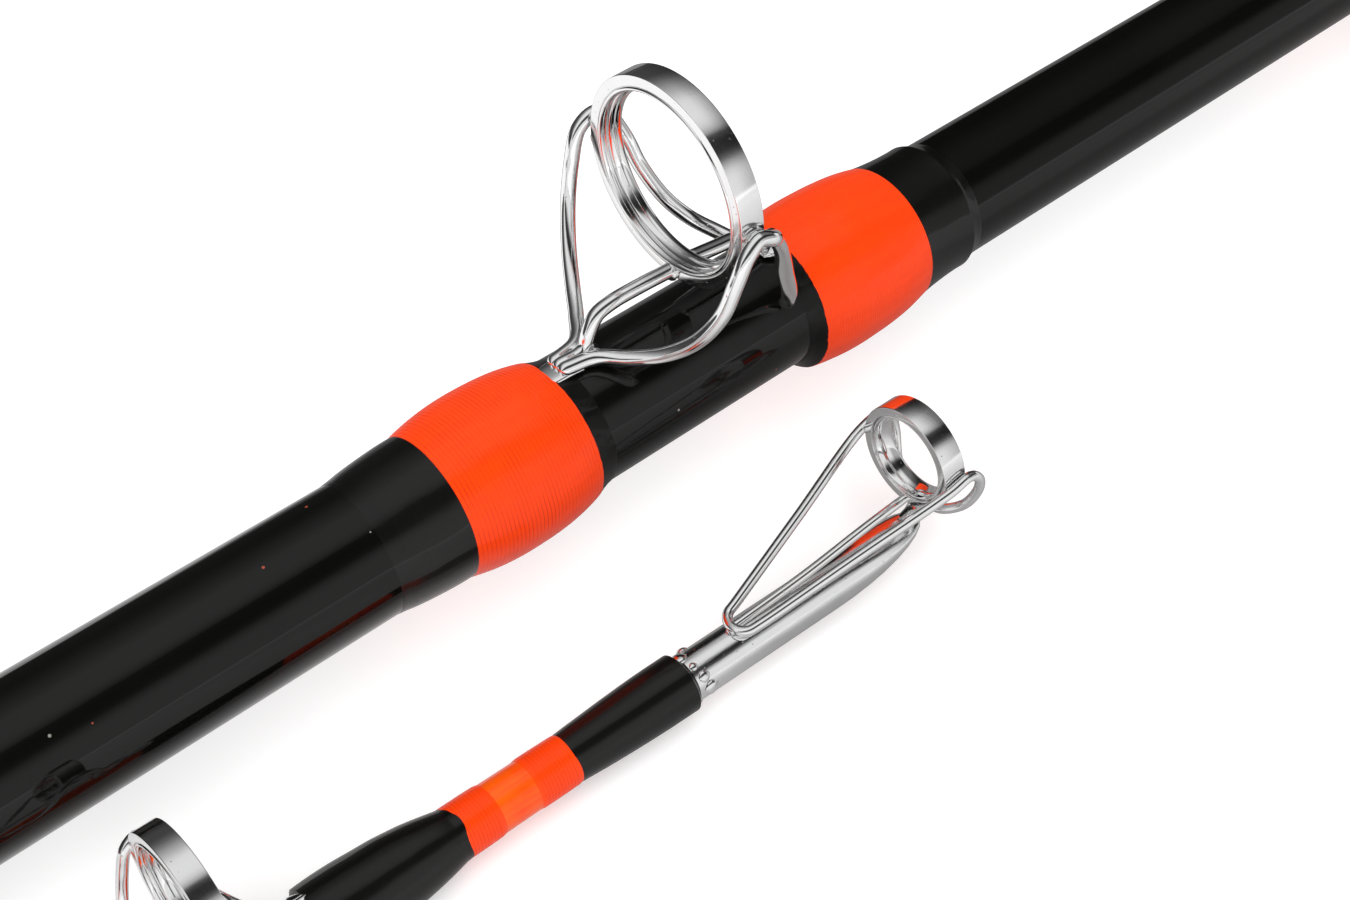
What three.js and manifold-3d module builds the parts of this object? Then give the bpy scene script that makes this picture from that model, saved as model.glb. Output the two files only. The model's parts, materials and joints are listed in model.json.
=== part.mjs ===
// Two-piece ice fishing rod, taken down: the handle section with its grips, reel seat and two
// butt guides, and the short solid-glass tip section lying beside it.  Millimetres, +Z up.
// The origin is the middle of the butt cap's rear face, on the rod's axis, and +X runs to the tip.
import * as THREE from 'three';
import { mergeVertices } from 'three/addons/utils/BufferGeometryUtils.js';
import Module from 'manifold-3d';

const wasm = await Module();
wasm.setup();

// ---- Fits -------------------------------------------------------------------------------
const GLUE_GAP = 0.1;       // radial room for glue between a sleeve and what it sits on
const THREAD_GAP = 0.08;    // between a thread wrap and the blank or foot under it
const BUTT_GAP = 0.3;       // between pieces that butt end to end
const RUNNING_GAP = 0.15;   // radial play of the hood and the nut on the reel seat
const FOOT_CLEARANCE = 0.005; // the least between a guide's rear foot and a steep taper under it
const WELD_GAP = 0.08;      // between a guide wire and the ring that it is soldered to

// ---- Handle section ---------------------------------------------------------------------
const GRIP_RADIUS = 10.5;
const GRIP_WAIST_RADIUS = 9.3;
const CAP_LENGTH = 16;
const CAP_EDGE = 1.6;
const REAR_GRIP_LENGTH = 95.7;
const CHECK_LENGTH = 1.9;
const CHECK_RADIUS = 9.4;
const SEAT_LENGTH = 100;
const SEAT_RADIUS = 8;
const SEAT_WALL = 1.6;
const ARBOR_LENGTH = 22;
const ARBOR_INSET = 3;
const BED_DEPTH = 0.8;      // how far the flat for the reel's foot is cut into the barrel
const BED_MARGIN = 1;       // from the flat's ends to the hoods
const HOOD_LENGTH = 16;
const HOOD_WALL = 1.35;
const HOOD_SIDE_WALL = 2;
const HOOD_ROOF = 1.7;
const HOOD_CHAMFER = 3;
const HOOD_NOSE = 2.2;      // the roof stops this far short of the hood's closed end
const FIXED_HOOD_INSET = 5;
const POCKET_WIDTH = 13;
const POCKET_HEIGHT = 4.7;
const POCKET_DEPTH = 10;
const NUT_LENGTH = 9.5;
const NUT_WALL = 1.95;
const NUT_CHAMFER = 1;
const NUT_INSET = 0.4;
const FORE_GRIP_LENGTH = 26;
const FORE_GRIP_TIP_RADIUS = 6.3;
const FORE_CHECK_RADIUS = 5.9;
const HANDLE_SIDES = 20;

// ---- Butt blank -------------------------------------------------------------------------
const BLANK_START = 6;
const BLANK_END = 496;
const BLANK_BUTT_RADIUS = 5.19;
const BLANK_TAPER = 0.0038;
const BLANK_WALL = 1.1;
const FERRULE_LENGTH = 30;
const FERRULE_LAP = 6;      // how far the ferrule reaches back over the blank's end
const FERRULE_WALL = 0.45;
const FERRULE_CHAMFER = 0.4;
const FERRULE_WRAP_LENGTH = 5.3;
const FERRULE_WRAP_RISE = 0.45;

// ---- Tip section ------------------------------------------------------------------------
const TIP_LENGTH = 166;     // from the male end to the front end of the tip-top's tube
const TIP_AHEAD = 5.2;      // how far the tip section's front end lies past the stripper's ring
const TIP_ASIDE = 12.4;     // and how far to its side
const TIP_YAW = THREE.MathUtils.degToRad(-0.8);
const MALE_RADIUS = 2.3;
const MALE_LENGTH = 23;
const MALE_CHAMFER = 0.3;
const SHOULDER_WRAP_OFFSET = 3;
const SOCKET_GAP = 0.05;
const REST_GAP = 0.05;      // between the male end and the surface that the rod lies on
const TIP_BLANK_RADIUS = 1.37;
const TIP_SPIGOT_RADIUS = 1.02;
const TIP_TUBE_RADIUS = 1.34;
const TIP_TUBE_LENGTH = 22;
const TIP_TUBE_BORE_LENGTH = 14.5;
const TIP_BARE_LENGTH = 2.3; // from the shoulder, where the glass is turned down, to the tube
const TIP_WRAP_LENGTH = 7.5;
const TIP_WRAP_RISE = 0.34;
const TIP_TRIM_LENGTH = 2;
const TIP_TRIM_RISE = 0.24;
const TIP_TRIM_GAP = 0.2;
const SHOULDER_WRAP_LENGTH = 9;
const SHOULDER_WRAP_RISE = 0.45;
const TIP_SIDES = 14;

// ---- Guides -----------------------------------------------------------------------------
// x is the ring's place along its section.
const TUBE_X = TIP_LENGTH - TIP_TUBE_LENGTH;
const TIP_SHOULDER = TUBE_X - TIP_BARE_LENGTH;
const STRIPPER = {
  name: 'stripper', x: 400, ringRadius: 6, ringWidth: 1.5, ringWall: 0.65, insertWall: 0.5,
  clearance: 2.15, wireRadius: 0.425, rearFoot: 8.4, frontFoot: 8.1, wrapGap: 0.9, frontWrapX: 6.45,
  wrapLength: 8, trimLength: 3.4, wrapRise: 0.95, sides: 28, steps: 26,
};
const MIDDLE = {
  name: 'middle', x: BLANK_END - 24, ringRadius: 4.6, ringWidth: 1.4, ringWall: 0.6, insertWall: 0.45,
  clearance: 1.9, wireRadius: 0.38, rearFoot: 6.6, frontFoot: 6.3, wrapGap: 0.8, frontWrapX: 5.2,
  wrapLength: 6.6, trimLength: 0, wrapRise: 0.85, sides: 22, steps: 18,
};
const LOWER = {
  name: 'lower', x: 63, ringRadius: 4.3, ringWidth: 1.3, ringWall: 0.55, insertWall: 0.4,
  clearance: 1.6, wireRadius: 0.33, rearFoot: 6, frontFoot: 5.8, wrapGap: 0.7, frontWrapX: 5.2,
  wrapLength: 8, trimLength: 0, wrapRise: 0.75, sides: 20, steps: 16,
};
const UPPER = {
  name: 'upper', x: TIP_SHOULDER - 20.4, ringRadius: 4, ringWidth: 1.3, ringWall: 0.55, insertWall: 0.4,
  clearance: 1.5, wireRadius: 0.31, rearFoot: 5.8, frontFoot: 5.7, wrapGap: 0.7, frontWrapX: 5.3,
  wrapLength: 8, trimLength: 0, wrapRise: 0.7, sides: 20, steps: 16,
};
const FOOT_THICKNESS = 0.32;
const FOOT_WIDTH = 1.5;
const FOOT_LENGTH = 6;
const FOOT_LAP = 1;         // how far a foot reaches in under the ends of the wires
const TRIM_RISE = 0.32;
const SPUR_ANGLE = THREE.MathUtils.degToRad(51);  // where the near wire's end lands on the blank
const TIP_RING = { radius: 3.1, width: 1.45, wall: 0.5, insertWall: 0.35, height: 5.7, sides: 22 };
const TIP_WIRE_RADIUS = 0.29;

// ---- Places worked out from the sizes above ----------------------------------------------
const REAR_GRIP_X = CAP_LENGTH + BUTT_GAP;
const REAR_CHECK_X = REAR_GRIP_X + REAR_GRIP_LENGTH + BUTT_GAP;
const SEAT_X = REAR_CHECK_X + CHECK_LENGTH + BUTT_GAP;
const SEAT_END = SEAT_X + SEAT_LENGTH;
const SEAT_BORE = SEAT_RADIUS - SEAT_WALL;
const HOOD_BORE = SEAT_RADIUS + RUNNING_GAP;
const HOOD_RADIUS = HOOD_BORE + HOOD_WALL;
const HOOD_TOP = SEAT_RADIUS + POCKET_HEIGHT + HOOD_ROOF;
const FIXED_HOOD_X = SEAT_X + FIXED_HOOD_INSET;
const NUT_X = SEAT_END - NUT_LENGTH - NUT_INSET;
const SLIDING_HOOD_X = NUT_X - BUTT_GAP - HOOD_LENGTH;
const BED_START = FIXED_HOOD_X + HOOD_LENGTH + BED_MARGIN;
const BED_END = SLIDING_HOOD_X - BED_MARGIN;
const FORE_GRIP_X = SEAT_END + BUTT_GAP;
const FORE_CHECK_X = FORE_GRIP_X + FORE_GRIP_LENGTH + BUTT_GAP;
const FERRULE_X = BLANK_END - FERRULE_LAP;
const TIP_HEIGHT = MALE_RADIUS - GRIP_RADIUS + REST_GAP;

// Outer radius of the butt blank at x.
const blankRadius = (x) => BLANK_BUTT_RADIUS - BLANK_TAPER * (x - BLANK_START);

// Outer radius of the tip section's glass at u, its distance from the male end.
function tipRadius(u) {
  const along = (u - MALE_LENGTH) / (TIP_SHOULDER - MALE_LENGTH);
  return MALE_RADIUS + (TIP_BLANK_RADIUS - MALE_RADIUS) * THREE.MathUtils.clamp(along, 0, 1);
}

// ---- Materials --------------------------------------------------------------------------
function finish(color, roughness, metalness) {
  return new THREE.MeshStandardMaterial({ color, roughness, metalness });
}
const FINISHES = {
  foam: () => finish(0x1b1b1c, 0.9, 0),
  rubber: () => finish(0x151515, 0.7, 0),
  graphite: () => finish(0x0b0c0b, 0.15, 0),
  glass: () => finish(0xff5a00, 0.2, 0),
  orangeThread: () => finish(0xff4808, 0.25, 0),
  blackThread: () => finish(0x101010, 0.25, 0),
  steel: () => finish(0xc8c8c8, 0.15, 1),
  polished: () => finish(0xdedede, 0.08, 1),
  alloy: () => finish(0x9a9ca0, 0.35, 1),
  seat: () => finish(0x121214, 0.3, 0),
  arbor: () => finish(0xcfc8b4, 0.8, 0),
};

// ---- Solids -----------------------------------------------------------------------------
// A closed three.js geometry as a solid that can be joined and cut.
function toSolid(geometry) {
  const bare = geometry.index ? geometry.toNonIndexed() : geometry.clone();
  bare.deleteAttribute('normal');
  bare.deleteAttribute('uv');
  const merged = mergeVertices(bare, 1e-4);
  const index = merged.index.array;
  const corners = [];
  for (let i = 0; i < index.length; i += 3) {
    const [a, b, c] = [index[i], index[i + 1], index[i + 2]];
    if (a !== b && b !== c && c !== a) corners.push(a, b, c);
  }
  return new wasm.Manifold(new wasm.Mesh({
    numProp: 3,
    vertProperties: new Float32Array(merged.attributes.position.array),
    triVerts: new Uint32Array(corners),
  }));
}

// A solid back as a geometry.
function toGeometry(solid) {
  const mesh = solid.getMesh();
  const geometry = new THREE.BufferGeometry();
  geometry.setAttribute('position', new THREE.BufferAttribute(mesh.vertProperties, 3));
  geometry.setIndex(new THREE.BufferAttribute(mesh.triVerts, 1));
  geometry.computeVertexNormals();
  return geometry;
}

// A solid turned about the X axis from [x, radius] pairs: the outside runs towards +x.  Its flats
// touch the true circle, and one faces straight down.
function turned(profile, sides, centreHeight = 0) {
  const toCorner = 1 / Math.cos(Math.PI / sides);
  const points = profile.map(([x, radius]) => new THREE.Vector2(radius * toCorner, x));
  const geometry = new THREE.LatheGeometry(points, sides, Math.PI / sides);
  geometry.rotateZ(-Math.PI / 2);
  geometry.translate(0, 0, centreHeight);
  return toSolid(geometry);
}

// A sleeve with the outside given by [x, radius] pairs and a bore given by a function of x.
function sleeve(outside, bore, sides) {
  const start = outside[0][0];
  const end = outside[outside.length - 1][0];
  const profile = [[start, bore(start)], ...outside, [end, bore(end)], [start, bore(start)]];
  return turned(profile, sides);
}

// A box given by its lowest and highest corners.
function block(low, high) {
  const size = high.map((value, i) => value - low[i]);
  const geometry = new THREE.BoxGeometry(...size);
  geometry.translate(low[0] + size[0] / 2, low[1] + size[1] / 2, low[2] + size[2] / 2);
  return toSolid(geometry);
}

// A round wire along a smooth curve through the points.
function wire(points, radius, steps, sides = 8) {
  const corners = points.map((p) => new THREE.Vector3(...p));
  const path = new THREE.CatmullRomCurve3(corners, false, 'centripetal');
  const section = new THREE.Shape();
  for (let i = 0; i < sides; i += 1) {
    const angle = (2 * Math.PI * i) / sides;
    const [a, b] = [radius * Math.cos(angle), radius * Math.sin(angle)];
    if (i === 0) section.moveTo(a, b);
    else section.lineTo(a, b);
  }
  return toSolid(new THREE.ExtrudeGeometry(section, { extrudePath: path, steps, bevelEnabled: false }));
}

// Adds a named piece to a group.
function addPiece(group, name, solid, material) {
  const mesh = new THREE.Mesh(toGeometry(solid), material);
  mesh.name = name;
  group.add(mesh);
}

// ---- Handle section ---------------------------------------------------------------------
function makeButtCap() {
  const bore = blankRadius(BLANK_START) + GLUE_GAP;
  const floor = BLANK_START - BUTT_GAP;
  return turned([
    [0, 0], [0, GRIP_RADIUS - CAP_EDGE], [CAP_EDGE * 0.3, GRIP_RADIUS - CAP_EDGE * 0.3],
    [CAP_EDGE, GRIP_RADIUS], [CAP_LENGTH, GRIP_RADIUS], [CAP_LENGTH, bore], [floor, bore], [floor, 0],
  ], HANDLE_SIDES);
}

const gluedBore = (x) => blankRadius(x) + GLUE_GAP;

function makeRearGrip() {
  const end = REAR_GRIP_X + REAR_GRIP_LENGTH;
  return sleeve([
    [REAR_GRIP_X, GRIP_RADIUS], [REAR_GRIP_X + REAR_GRIP_LENGTH * 0.3, GRIP_RADIUS],
    [REAR_GRIP_X + REAR_GRIP_LENGTH * 0.62, GRIP_WAIST_RADIUS],
    [end - REAR_GRIP_LENGTH * 0.1, CHECK_RADIUS + 0.3], [end, CHECK_RADIUS],
  ], gluedBore, HANDLE_SIDES);
}

function makeCheck(x, radius) {
  return sleeve([[x, radius], [x + CHECK_LENGTH, radius]], gluedBore, HANDLE_SIDES);
}

function makeSeatBarrel() {
  const barrel = sleeve([[SEAT_X, SEAT_RADIUS], [SEAT_END, SEAT_RADIUS]], () => SEAT_BORE, HANDLE_SIDES);
  const aboveBed = block(
    [BED_START, -SEAT_RADIUS, SEAT_RADIUS - BED_DEPTH], [BED_END, SEAT_RADIUS, 2 * SEAT_RADIUS],
  );
  return barrel.subtract(aboveBed);
}

function makeArbor(x) {
  const radius = SEAT_BORE - GLUE_GAP;
  return sleeve([[x, radius], [x + ARBOR_LENGTH, radius]], gluedBore, HANDLE_SIDES);
}

// A hood is a sleeve with a raised roof, and a pocket open at one end for the reel's foot.
function makeHood(x, pocketFacesTip) {
  const end = x + HOOD_LENGTH;
  const body = turned([[x, 0], [x, HOOD_RADIUS], [end, HOOD_RADIUS], [end, 0]], HANDLE_SIDES);
  const outline = new THREE.Shape();
  const half = POCKET_WIDTH / 2 + HOOD_SIDE_WALL;
  const foot = HOOD_RADIUS * 0.2;
  outline.moveTo(-half, foot);
  outline.lineTo(half, foot);
  outline.lineTo(half, HOOD_TOP - HOOD_CHAMFER);
  outline.lineTo(half - HOOD_CHAMFER, HOOD_TOP);
  outline.lineTo(-half + HOOD_CHAMFER, HOOD_TOP);
  outline.lineTo(-half, HOOD_TOP - HOOD_CHAMFER);
  outline.closePath();
  const depth = HOOD_LENGTH - HOOD_NOSE;
  const roof = new THREE.ExtrudeGeometry(outline, { depth, bevelEnabled: false });
  roof.rotateX(Math.PI / 2);
  roof.rotateZ(Math.PI / 2);
  roof.translate(pocketFacesTip ? x + HOOD_NOSE : x, 0, 0);
  const cut = [[x - 1, 0], [x - 1, HOOD_BORE], [end + 1, HOOD_BORE], [end + 1, 0]];
  const barrel = turned(cut, HANDLE_SIDES);
  const low = SEAT_RADIUS - 1;
  const high = SEAT_RADIUS + POCKET_HEIGHT;
  const mouth = pocketFacesTip ? [end - POCKET_DEPTH, end + 1] : [x - 1, x + POCKET_DEPTH];
  const pocket = block([mouth[0], -POCKET_WIDTH / 2, low], [mouth[1], POCKET_WIDTH / 2, high]);
  return body.add(toSolid(roof)).subtract(barrel).subtract(pocket);
}

function makeLockNut() {
  const end = NUT_X + NUT_LENGTH;
  const radius = HOOD_BORE + NUT_WALL;
  return sleeve([
    [NUT_X, radius - 0.6 * NUT_CHAMFER], [NUT_X + NUT_CHAMFER, radius],
    [end - NUT_CHAMFER, radius], [end, radius - 0.6 * NUT_CHAMFER],
  ], () => HOOD_BORE, HANDLE_SIDES);
}

function makeForeGrip() {
  const end = FORE_GRIP_X + FORE_GRIP_LENGTH;
  return sleeve([
    [FORE_GRIP_X, GRIP_RADIUS - 0.5], [FORE_GRIP_X + FORE_GRIP_LENGTH * 0.15, GRIP_RADIUS],
    [FORE_GRIP_X + FORE_GRIP_LENGTH * 0.5, GRIP_RADIUS - 1], [end, FORE_GRIP_TIP_RADIUS],
  ], gluedBore, HANDLE_SIDES);
}

// The hollow, tapered butt blank.
function makeButtBlank() {
  const outside = [[BLANK_START, blankRadius(BLANK_START)], [BLANK_END, blankRadius(BLANK_END)]];
  return sleeve(outside, (x) => blankRadius(x) - BLANK_WALL, HANDLE_SIDES);
}

// The ferrule is glued over the blank's front end and takes the tip section's male end.
function makeFerrule() {
  const lap = gluedBore(FERRULE_X);
  const radius = lap + FERRULE_WALL;
  const socket = MALE_RADIUS + SOCKET_GAP;
  const step = BLANK_END + BUTT_GAP;
  const end = FERRULE_X + FERRULE_LENGTH;
  return turned([
    [FERRULE_X, lap], [FERRULE_X, radius], [end - FERRULE_CHAMFER, radius], [end, radius - FERRULE_CHAMFER],
    [end, socket], [step, socket], [step, lap], [FERRULE_X, lap],
  ], HANDLE_SIDES);
}

// A thread wrap on a blank: a low barrel that thins to its two ends.  Over a guide's foot, which
// lies level, the outside is level too: level is then the blank's radius that it rises from.
function makeWrap(x, length, radiusAt, rise, sides, level = null) {
  const edge = Math.min(0.6, length * 0.15);
  const thin = Math.min(rise, 0.55) * 0.8;
  const base = (at) => level ?? radiusAt(at);
  const bore = (at) => radiusAt(at) + THREAD_GAP;
  return sleeve([
    [x, base(x) + thin], [x + edge, base(x + edge) + thin + (rise - thin) * 0.4],
    [x + length / 2, base(x + length / 2) + rise],
    [x + length - edge, base(x + length - edge) + thin + (rise - thin) * 0.4],
    [x + length, base(x + length) + thin],
  ], bore, sides);
}

// ---- Guides -----------------------------------------------------------------------------
// The channel that a guide's foot lies in under its wrap.
function cutFootChannel(wrap, from, to, radius) {
  const half = FOOT_WIDTH / 2 + THREAD_GAP;
  const top = radius + GLUE_GAP + FOOT_THICKNESS + THREAD_GAP;
  return wrap.subtract(block([from, -half, radius - 1], [to, half, top]));
}

// The radius that a guide's feet and wraps rise from: the blank's under its ring, or a little more
// where a steep taper would reach the rear foot's heel.
function guideSeat(guide, radiusAt) {
  const heel = radiusAt(guide.x - guide.rearFoot - FOOT_LENGTH);
  return Math.max(radiusAt(guide.x), heel - GLUE_GAP + FOOT_CLEARANCE);
}

// A guide's soldered frame: a near and a far side wire, a centre wire that stops at the ring's two
// faces, and two flat feet.
function makeGuideFrame(guide, radiusAt) {
  const { x, ringRadius: big, wireRadius: thin, rearFoot, frontFoot, clearance, steps } = guide;
  const radius = guideSeat(guide, radiusAt);
  const centre = radius + clearance + big;
  const low = radius + thin + GLUE_GAP;
  const lift = centre - low;
  const side = big + thin + WELD_GAP;
  const spur = radius + thin + WELD_GAP;
  const weld = centre - big + 0.06 * big;
  const face = guide.ringWidth / 2 + WELD_GAP;
  const rise = (y) => [
    [x - rearFoot, y * thin, low], [x - 1.12 * big, y * 0.14 * big, low],
    [x - 0.92 * big, y * 0.38 * big, low + 0.02 * lift],
    [x - 0.75 * big, y * 0.63 * big, low + 0.09 * lift],
    [x - 0.58 * big, y * 0.87 * big, low + 0.24 * lift],
    [x - 0.42 * big, y * 1.04 * big, low + 0.47 * lift],
    [x - 0.29 * big, y * 1.1 * big, low + 0.72 * lift],
    [x - 0.17 * big, y * 1.115 * big, low + 0.9 * lift],
    [x - 0.02 * big, y * 1.01 * side, centre - 0.05 * big],
    [x + 0.14 * big, y * 1.01 * side, centre - 0.1 * big],
  ];
  const near = wire([
    ...rise(-1), [x + face + thin + 0.03 * big, -big, centre - 0.22 * big],
    [x + 0.34 * big, -0.95 * big, centre - 0.42 * big], [x + 0.48 * big, -0.83 * big, centre - 0.82 * big],
    [x + 0.64 * big, -0.69 * big, centre - 1.24 * big],
    [x + 0.74 * big, -Math.sin(SPUR_ANGLE) * spur, Math.cos(SPUR_ANGLE) * spur],
  ], thin, steps);
  const far = wire([
    ...rise(1), [x + face + thin + 0.03 * big, 0.98 * big, centre - 0.27 * big],
    [x + 0.3 * big, 0.87 * big, centre - 0.52 * big], [x + 0.41 * big, 0.7 * big, centre - 0.82 * big],
    [x + 0.57 * big, 0.55 * big, low + 0.17 * lift], [x + 0.7 * big, 0.37 * big, low + 0.08 * lift],
    [x + 0.8 * big, 0.18 * big, low + 0.03 * lift], [x + 0.95 * big, 0.07 * big, low],
    [x + frontFoot, thin, low],
  ], thin, steps);
  const step = weld - low;
  const middleSteps = Math.round(steps * 0.6);
  const rearMiddle = wire([
    [x - rearFoot, 0, low], [x - 1.15 * big, 0, low + 0.03 * step], [x - 1.06 * big, 0, low + 0.55 * step],
    [x - 0.97 * big, 0, low + 0.93 * step], [x - 0.8 * big, 0, weld + 0.02 * big],
    [x - 0.5 * big, 0, weld + 0.02 * big], [x - face, 0, weld],
  ], thin, middleSteps);
  const frontMiddle = wire([
    [x + face, 0, weld], [x + 0.4 * big, 0, weld - 0.04 * big], [x + 0.6 * big, 0, weld - 0.07 * big],
    [x + 0.85 * big, 0, low + 0.45 * step], [x + 1.02 * big, 0, low], [x + frontFoot, 0, low],
  ], thin, middleSteps);
  const bottom = radius + GLUE_GAP;
  const foot = (from, to) => block(
    [from, -FOOT_WIDTH / 2, bottom], [to, FOOT_WIDTH / 2, bottom + FOOT_THICKNESS],
  );
  const rearPad = foot(x - rearFoot - FOOT_LENGTH, x - rearFoot + FOOT_LAP);
  const frontPad = foot(x + frontFoot - FOOT_LAP, x + frontFoot + FOOT_LENGTH);
  return near.add(far).add(rearMiddle).add(frontMiddle).add(rearPad).add(frontPad);
}

// A ring band and the polished insert pressed into it, about an axis at the given height.
function makeRing(x, height, radius, width, wall, sides) {
  const [from, to] = [x - width / 2, x + width / 2];
  const inner = radius - wall;
  return turned([[from, inner], [from, radius], [to, radius], [to, inner], [from, inner]], sides, height);
}

function makeInsert(x, height, radius, width, wall, sides) {
  const [from, to] = [x - width / 2, x + width / 2];
  const inner = radius - wall;
  return turned([
    [from, inner + wall * 0.5], [from, radius], [to, radius], [to, inner + wall * 0.5],
    [x + width * 0.2, inner], [x - width * 0.2, inner], [from, inner + wall * 0.5],
  ], sides, height);
}

function addGuide(group, guide, radiusAt, wrapSides, wrapFinish) {
  const { name, x, ringRadius, ringWidth, ringWall, insertWall, wrapLength, wrapRise, sides } = guide;
  const seat = guideSeat(guide, radiusAt);
  const height = seat + guide.clearance + ringRadius;
  const boreRadius = ringRadius - ringWall - WELD_GAP;
  addPiece(group, `${name}_frame`, makeGuideFrame(guide, radiusAt), FINISHES.steel());
  addPiece(group, `${name}_ring`,
    makeRing(x, height, ringRadius, ringWidth, ringWall, sides), FINISHES.steel());
  addPiece(group, `${name}_insert`,
    makeInsert(x, height, boreRadius, ringWidth * 1.15, insertWall, sides), FINISHES.polished());
  const rearX = x - guide.rearFoot - guide.wrapGap - wrapLength;
  const frontX = x + guide.frontWrapX;
  const footEnds = [x - guide.rearFoot - FOOT_LENGTH, x + guide.frontFoot + FOOT_LENGTH];
  const rear = cutFootChannel(
    makeWrap(rearX, wrapLength, radiusAt, wrapRise, wrapSides, seat),
    footEnds[0] - BUTT_GAP, rearX + wrapLength + 1, seat,
  );
  const wireRoom = 2 * guide.wireRadius + GLUE_GAP + THREAD_GAP;
  const mouthHalf = guide.wireRadius * 4;
  const mouthTop = radiusAt(frontX) + seat - radiusAt(x) + wireRoom;
  const mouthEnd = x + guide.frontFoot + BUTT_GAP;
  const mouth = block([frontX - 1, -mouthHalf, 0], [mouthEnd, mouthHalf, mouthTop + 1]);
  const front = cutFootChannel(
    makeWrap(frontX, wrapLength, radiusAt, wrapRise, wrapSides, seat),
    frontX - 1, footEnds[1] + BUTT_GAP, seat,
  ).subtract(mouth);
  addPiece(group, `${name}_rear_wrap`, rear, wrapFinish());
  addPiece(group, `${name}_front_wrap`, front, wrapFinish());
  if (guide.trimLength > 0) {
    const rearTrimX = rearX - BUTT_GAP - guide.trimLength;
    const frontTrimX = frontX + wrapLength + BUTT_GAP;
    addPiece(group, `${name}_rear_trim`,
      makeWrap(rearTrimX, guide.trimLength, radiusAt, TRIM_RISE, wrapSides), FINISHES.blackThread());
    addPiece(group, `${name}_front_trim`,
      makeWrap(frontTrimX, guide.trimLength, radiusAt, TRIM_RISE, wrapSides), FINISHES.blackThread());
  }
}

// ---- Tip section ------------------------------------------------------------------------
function makeTipBlank() {
  const end = TUBE_X + TIP_TUBE_BORE_LENGTH - BUTT_GAP;
  return turned([
    [0, 0], [0, MALE_RADIUS - MALE_CHAMFER], [2 * MALE_CHAMFER, MALE_RADIUS],
    [MALE_LENGTH, MALE_RADIUS],
    [TIP_SHOULDER, TIP_BLANK_RADIUS], [TIP_SHOULDER, TIP_SPIGOT_RADIUS],
    [end, TIP_SPIGOT_RADIUS], [end, 0],
  ], TIP_SIDES);
}

// The tube is closed at its front end, where it is pinched to the wire's neck.
function makeTipTube() {
  const bore = TIP_SPIGOT_RADIUS + GLUE_GAP;
  const floor = TUBE_X + TIP_TUBE_BORE_LENGTH;
  return turned([
    [TUBE_X, bore], [TUBE_X, TIP_TUBE_RADIUS], [TIP_LENGTH - 1.5, TIP_TUBE_RADIUS],
    [TIP_LENGTH, TIP_TUBE_RADIUS * 0.55], [TIP_LENGTH, 0], [floor, 0], [floor, bore], [TUBE_X, bore],
  ], TIP_SIDES);
}

// One bent wire: a bend on top of the tube, two arms to the ring's sides, and a neck under it.
function makeTipFrame() {
  const { radius, width, height } = TIP_RING;
  const side = radius + TIP_WIRE_RADIUS + WELD_GAP;
  const top = TIP_TUBE_RADIUS / Math.cos(Math.PI / TIP_SIDES) + TIP_WIRE_RADIUS + WELD_GAP;
  const ringX = TIP_LENGTH - 0.1;
  const front = ringX + width / 2 + TIP_WIRE_RADIUS + 0.3;
  const arm = (y) => [
    [front - 0.25, y * 0.42, top + 0.15], [front, y * 0.5, top + 0.75],
    [front + 0.1, y * 1.5, height - radius * 0.93], [front + 0.15, y * 2.5, height - radius * 0.62],
    [front + 0.1, y * (side - 0.1), height - radius * 0.2],
    [front - 0.55, y * side, height + 0.12 * radius],
    [ringX - 0.7, y * side, height - 0.02 * radius],
    [ringX - 6.5, y * side * 0.6, top + (height - top) * 0.48],
    [TIP_LENGTH - 12.4, y * 0.75, top + 0.2],
  ];
  const bend = [TIP_LENGTH - 13.2, 0, top];
  return wire([...arm(-1), bend, ...arm(1).reverse()], TIP_WIRE_RADIUS, 58, 6);
}

function addTipTop(group) {
  const ringX = TIP_LENGTH - 0.1;
  const { radius, width, wall, insertWall, height, sides } = TIP_RING;
  addPiece(group, 'tip_top_tube', makeTipTube(), FINISHES.steel());
  addPiece(group, 'tip_top_frame', makeTipFrame(), FINISHES.steel());
  addPiece(group, 'tip_top_ring', makeRing(ringX, height, radius, width, wall, sides), FINISHES.steel());
  addPiece(group, 'tip_top_insert',
    makeInsert(ringX, height, radius - wall - WELD_GAP, width * 0.9, insertWall, sides),
    FINISHES.polished());
}

function makeTipWraps(group) {
  const frontTrimX = TIP_SHOULDER - TIP_TRIM_LENGTH - TIP_TRIM_GAP / 2;
  const overTube = () => TIP_TUBE_RADIUS;
  const upperWrapEnd = UPPER.x + UPPER.frontWrapX + UPPER.wrapLength;
  addPiece(group, 'tip_tube_wrap',
    makeWrap(TIP_SHOULDER + TIP_TRIM_GAP / 2, TIP_WRAP_LENGTH, overTube, TIP_WRAP_RISE, TIP_SIDES),
    FINISHES.blackThread());
  addPiece(group, 'tip_front_trim',
    makeWrap(frontTrimX, TIP_TRIM_LENGTH, tipRadius, TIP_TRIM_RISE, TIP_SIDES), FINISHES.orangeThread());
  addPiece(group, 'tip_rear_trim',
    makeWrap(upperWrapEnd + TIP_TRIM_GAP, TIP_TRIM_LENGTH, tipRadius, TIP_TRIM_RISE, TIP_SIDES),
    FINISHES.orangeThread());
  const shoulderX = MALE_LENGTH + SHOULDER_WRAP_OFFSET;
  addPiece(group, 'shoulder_wrap',
    makeWrap(shoulderX, SHOULDER_WRAP_LENGTH, tipRadius, SHOULDER_WRAP_RISE, TIP_SIDES),
    FINISHES.blackThread());
}

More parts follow.
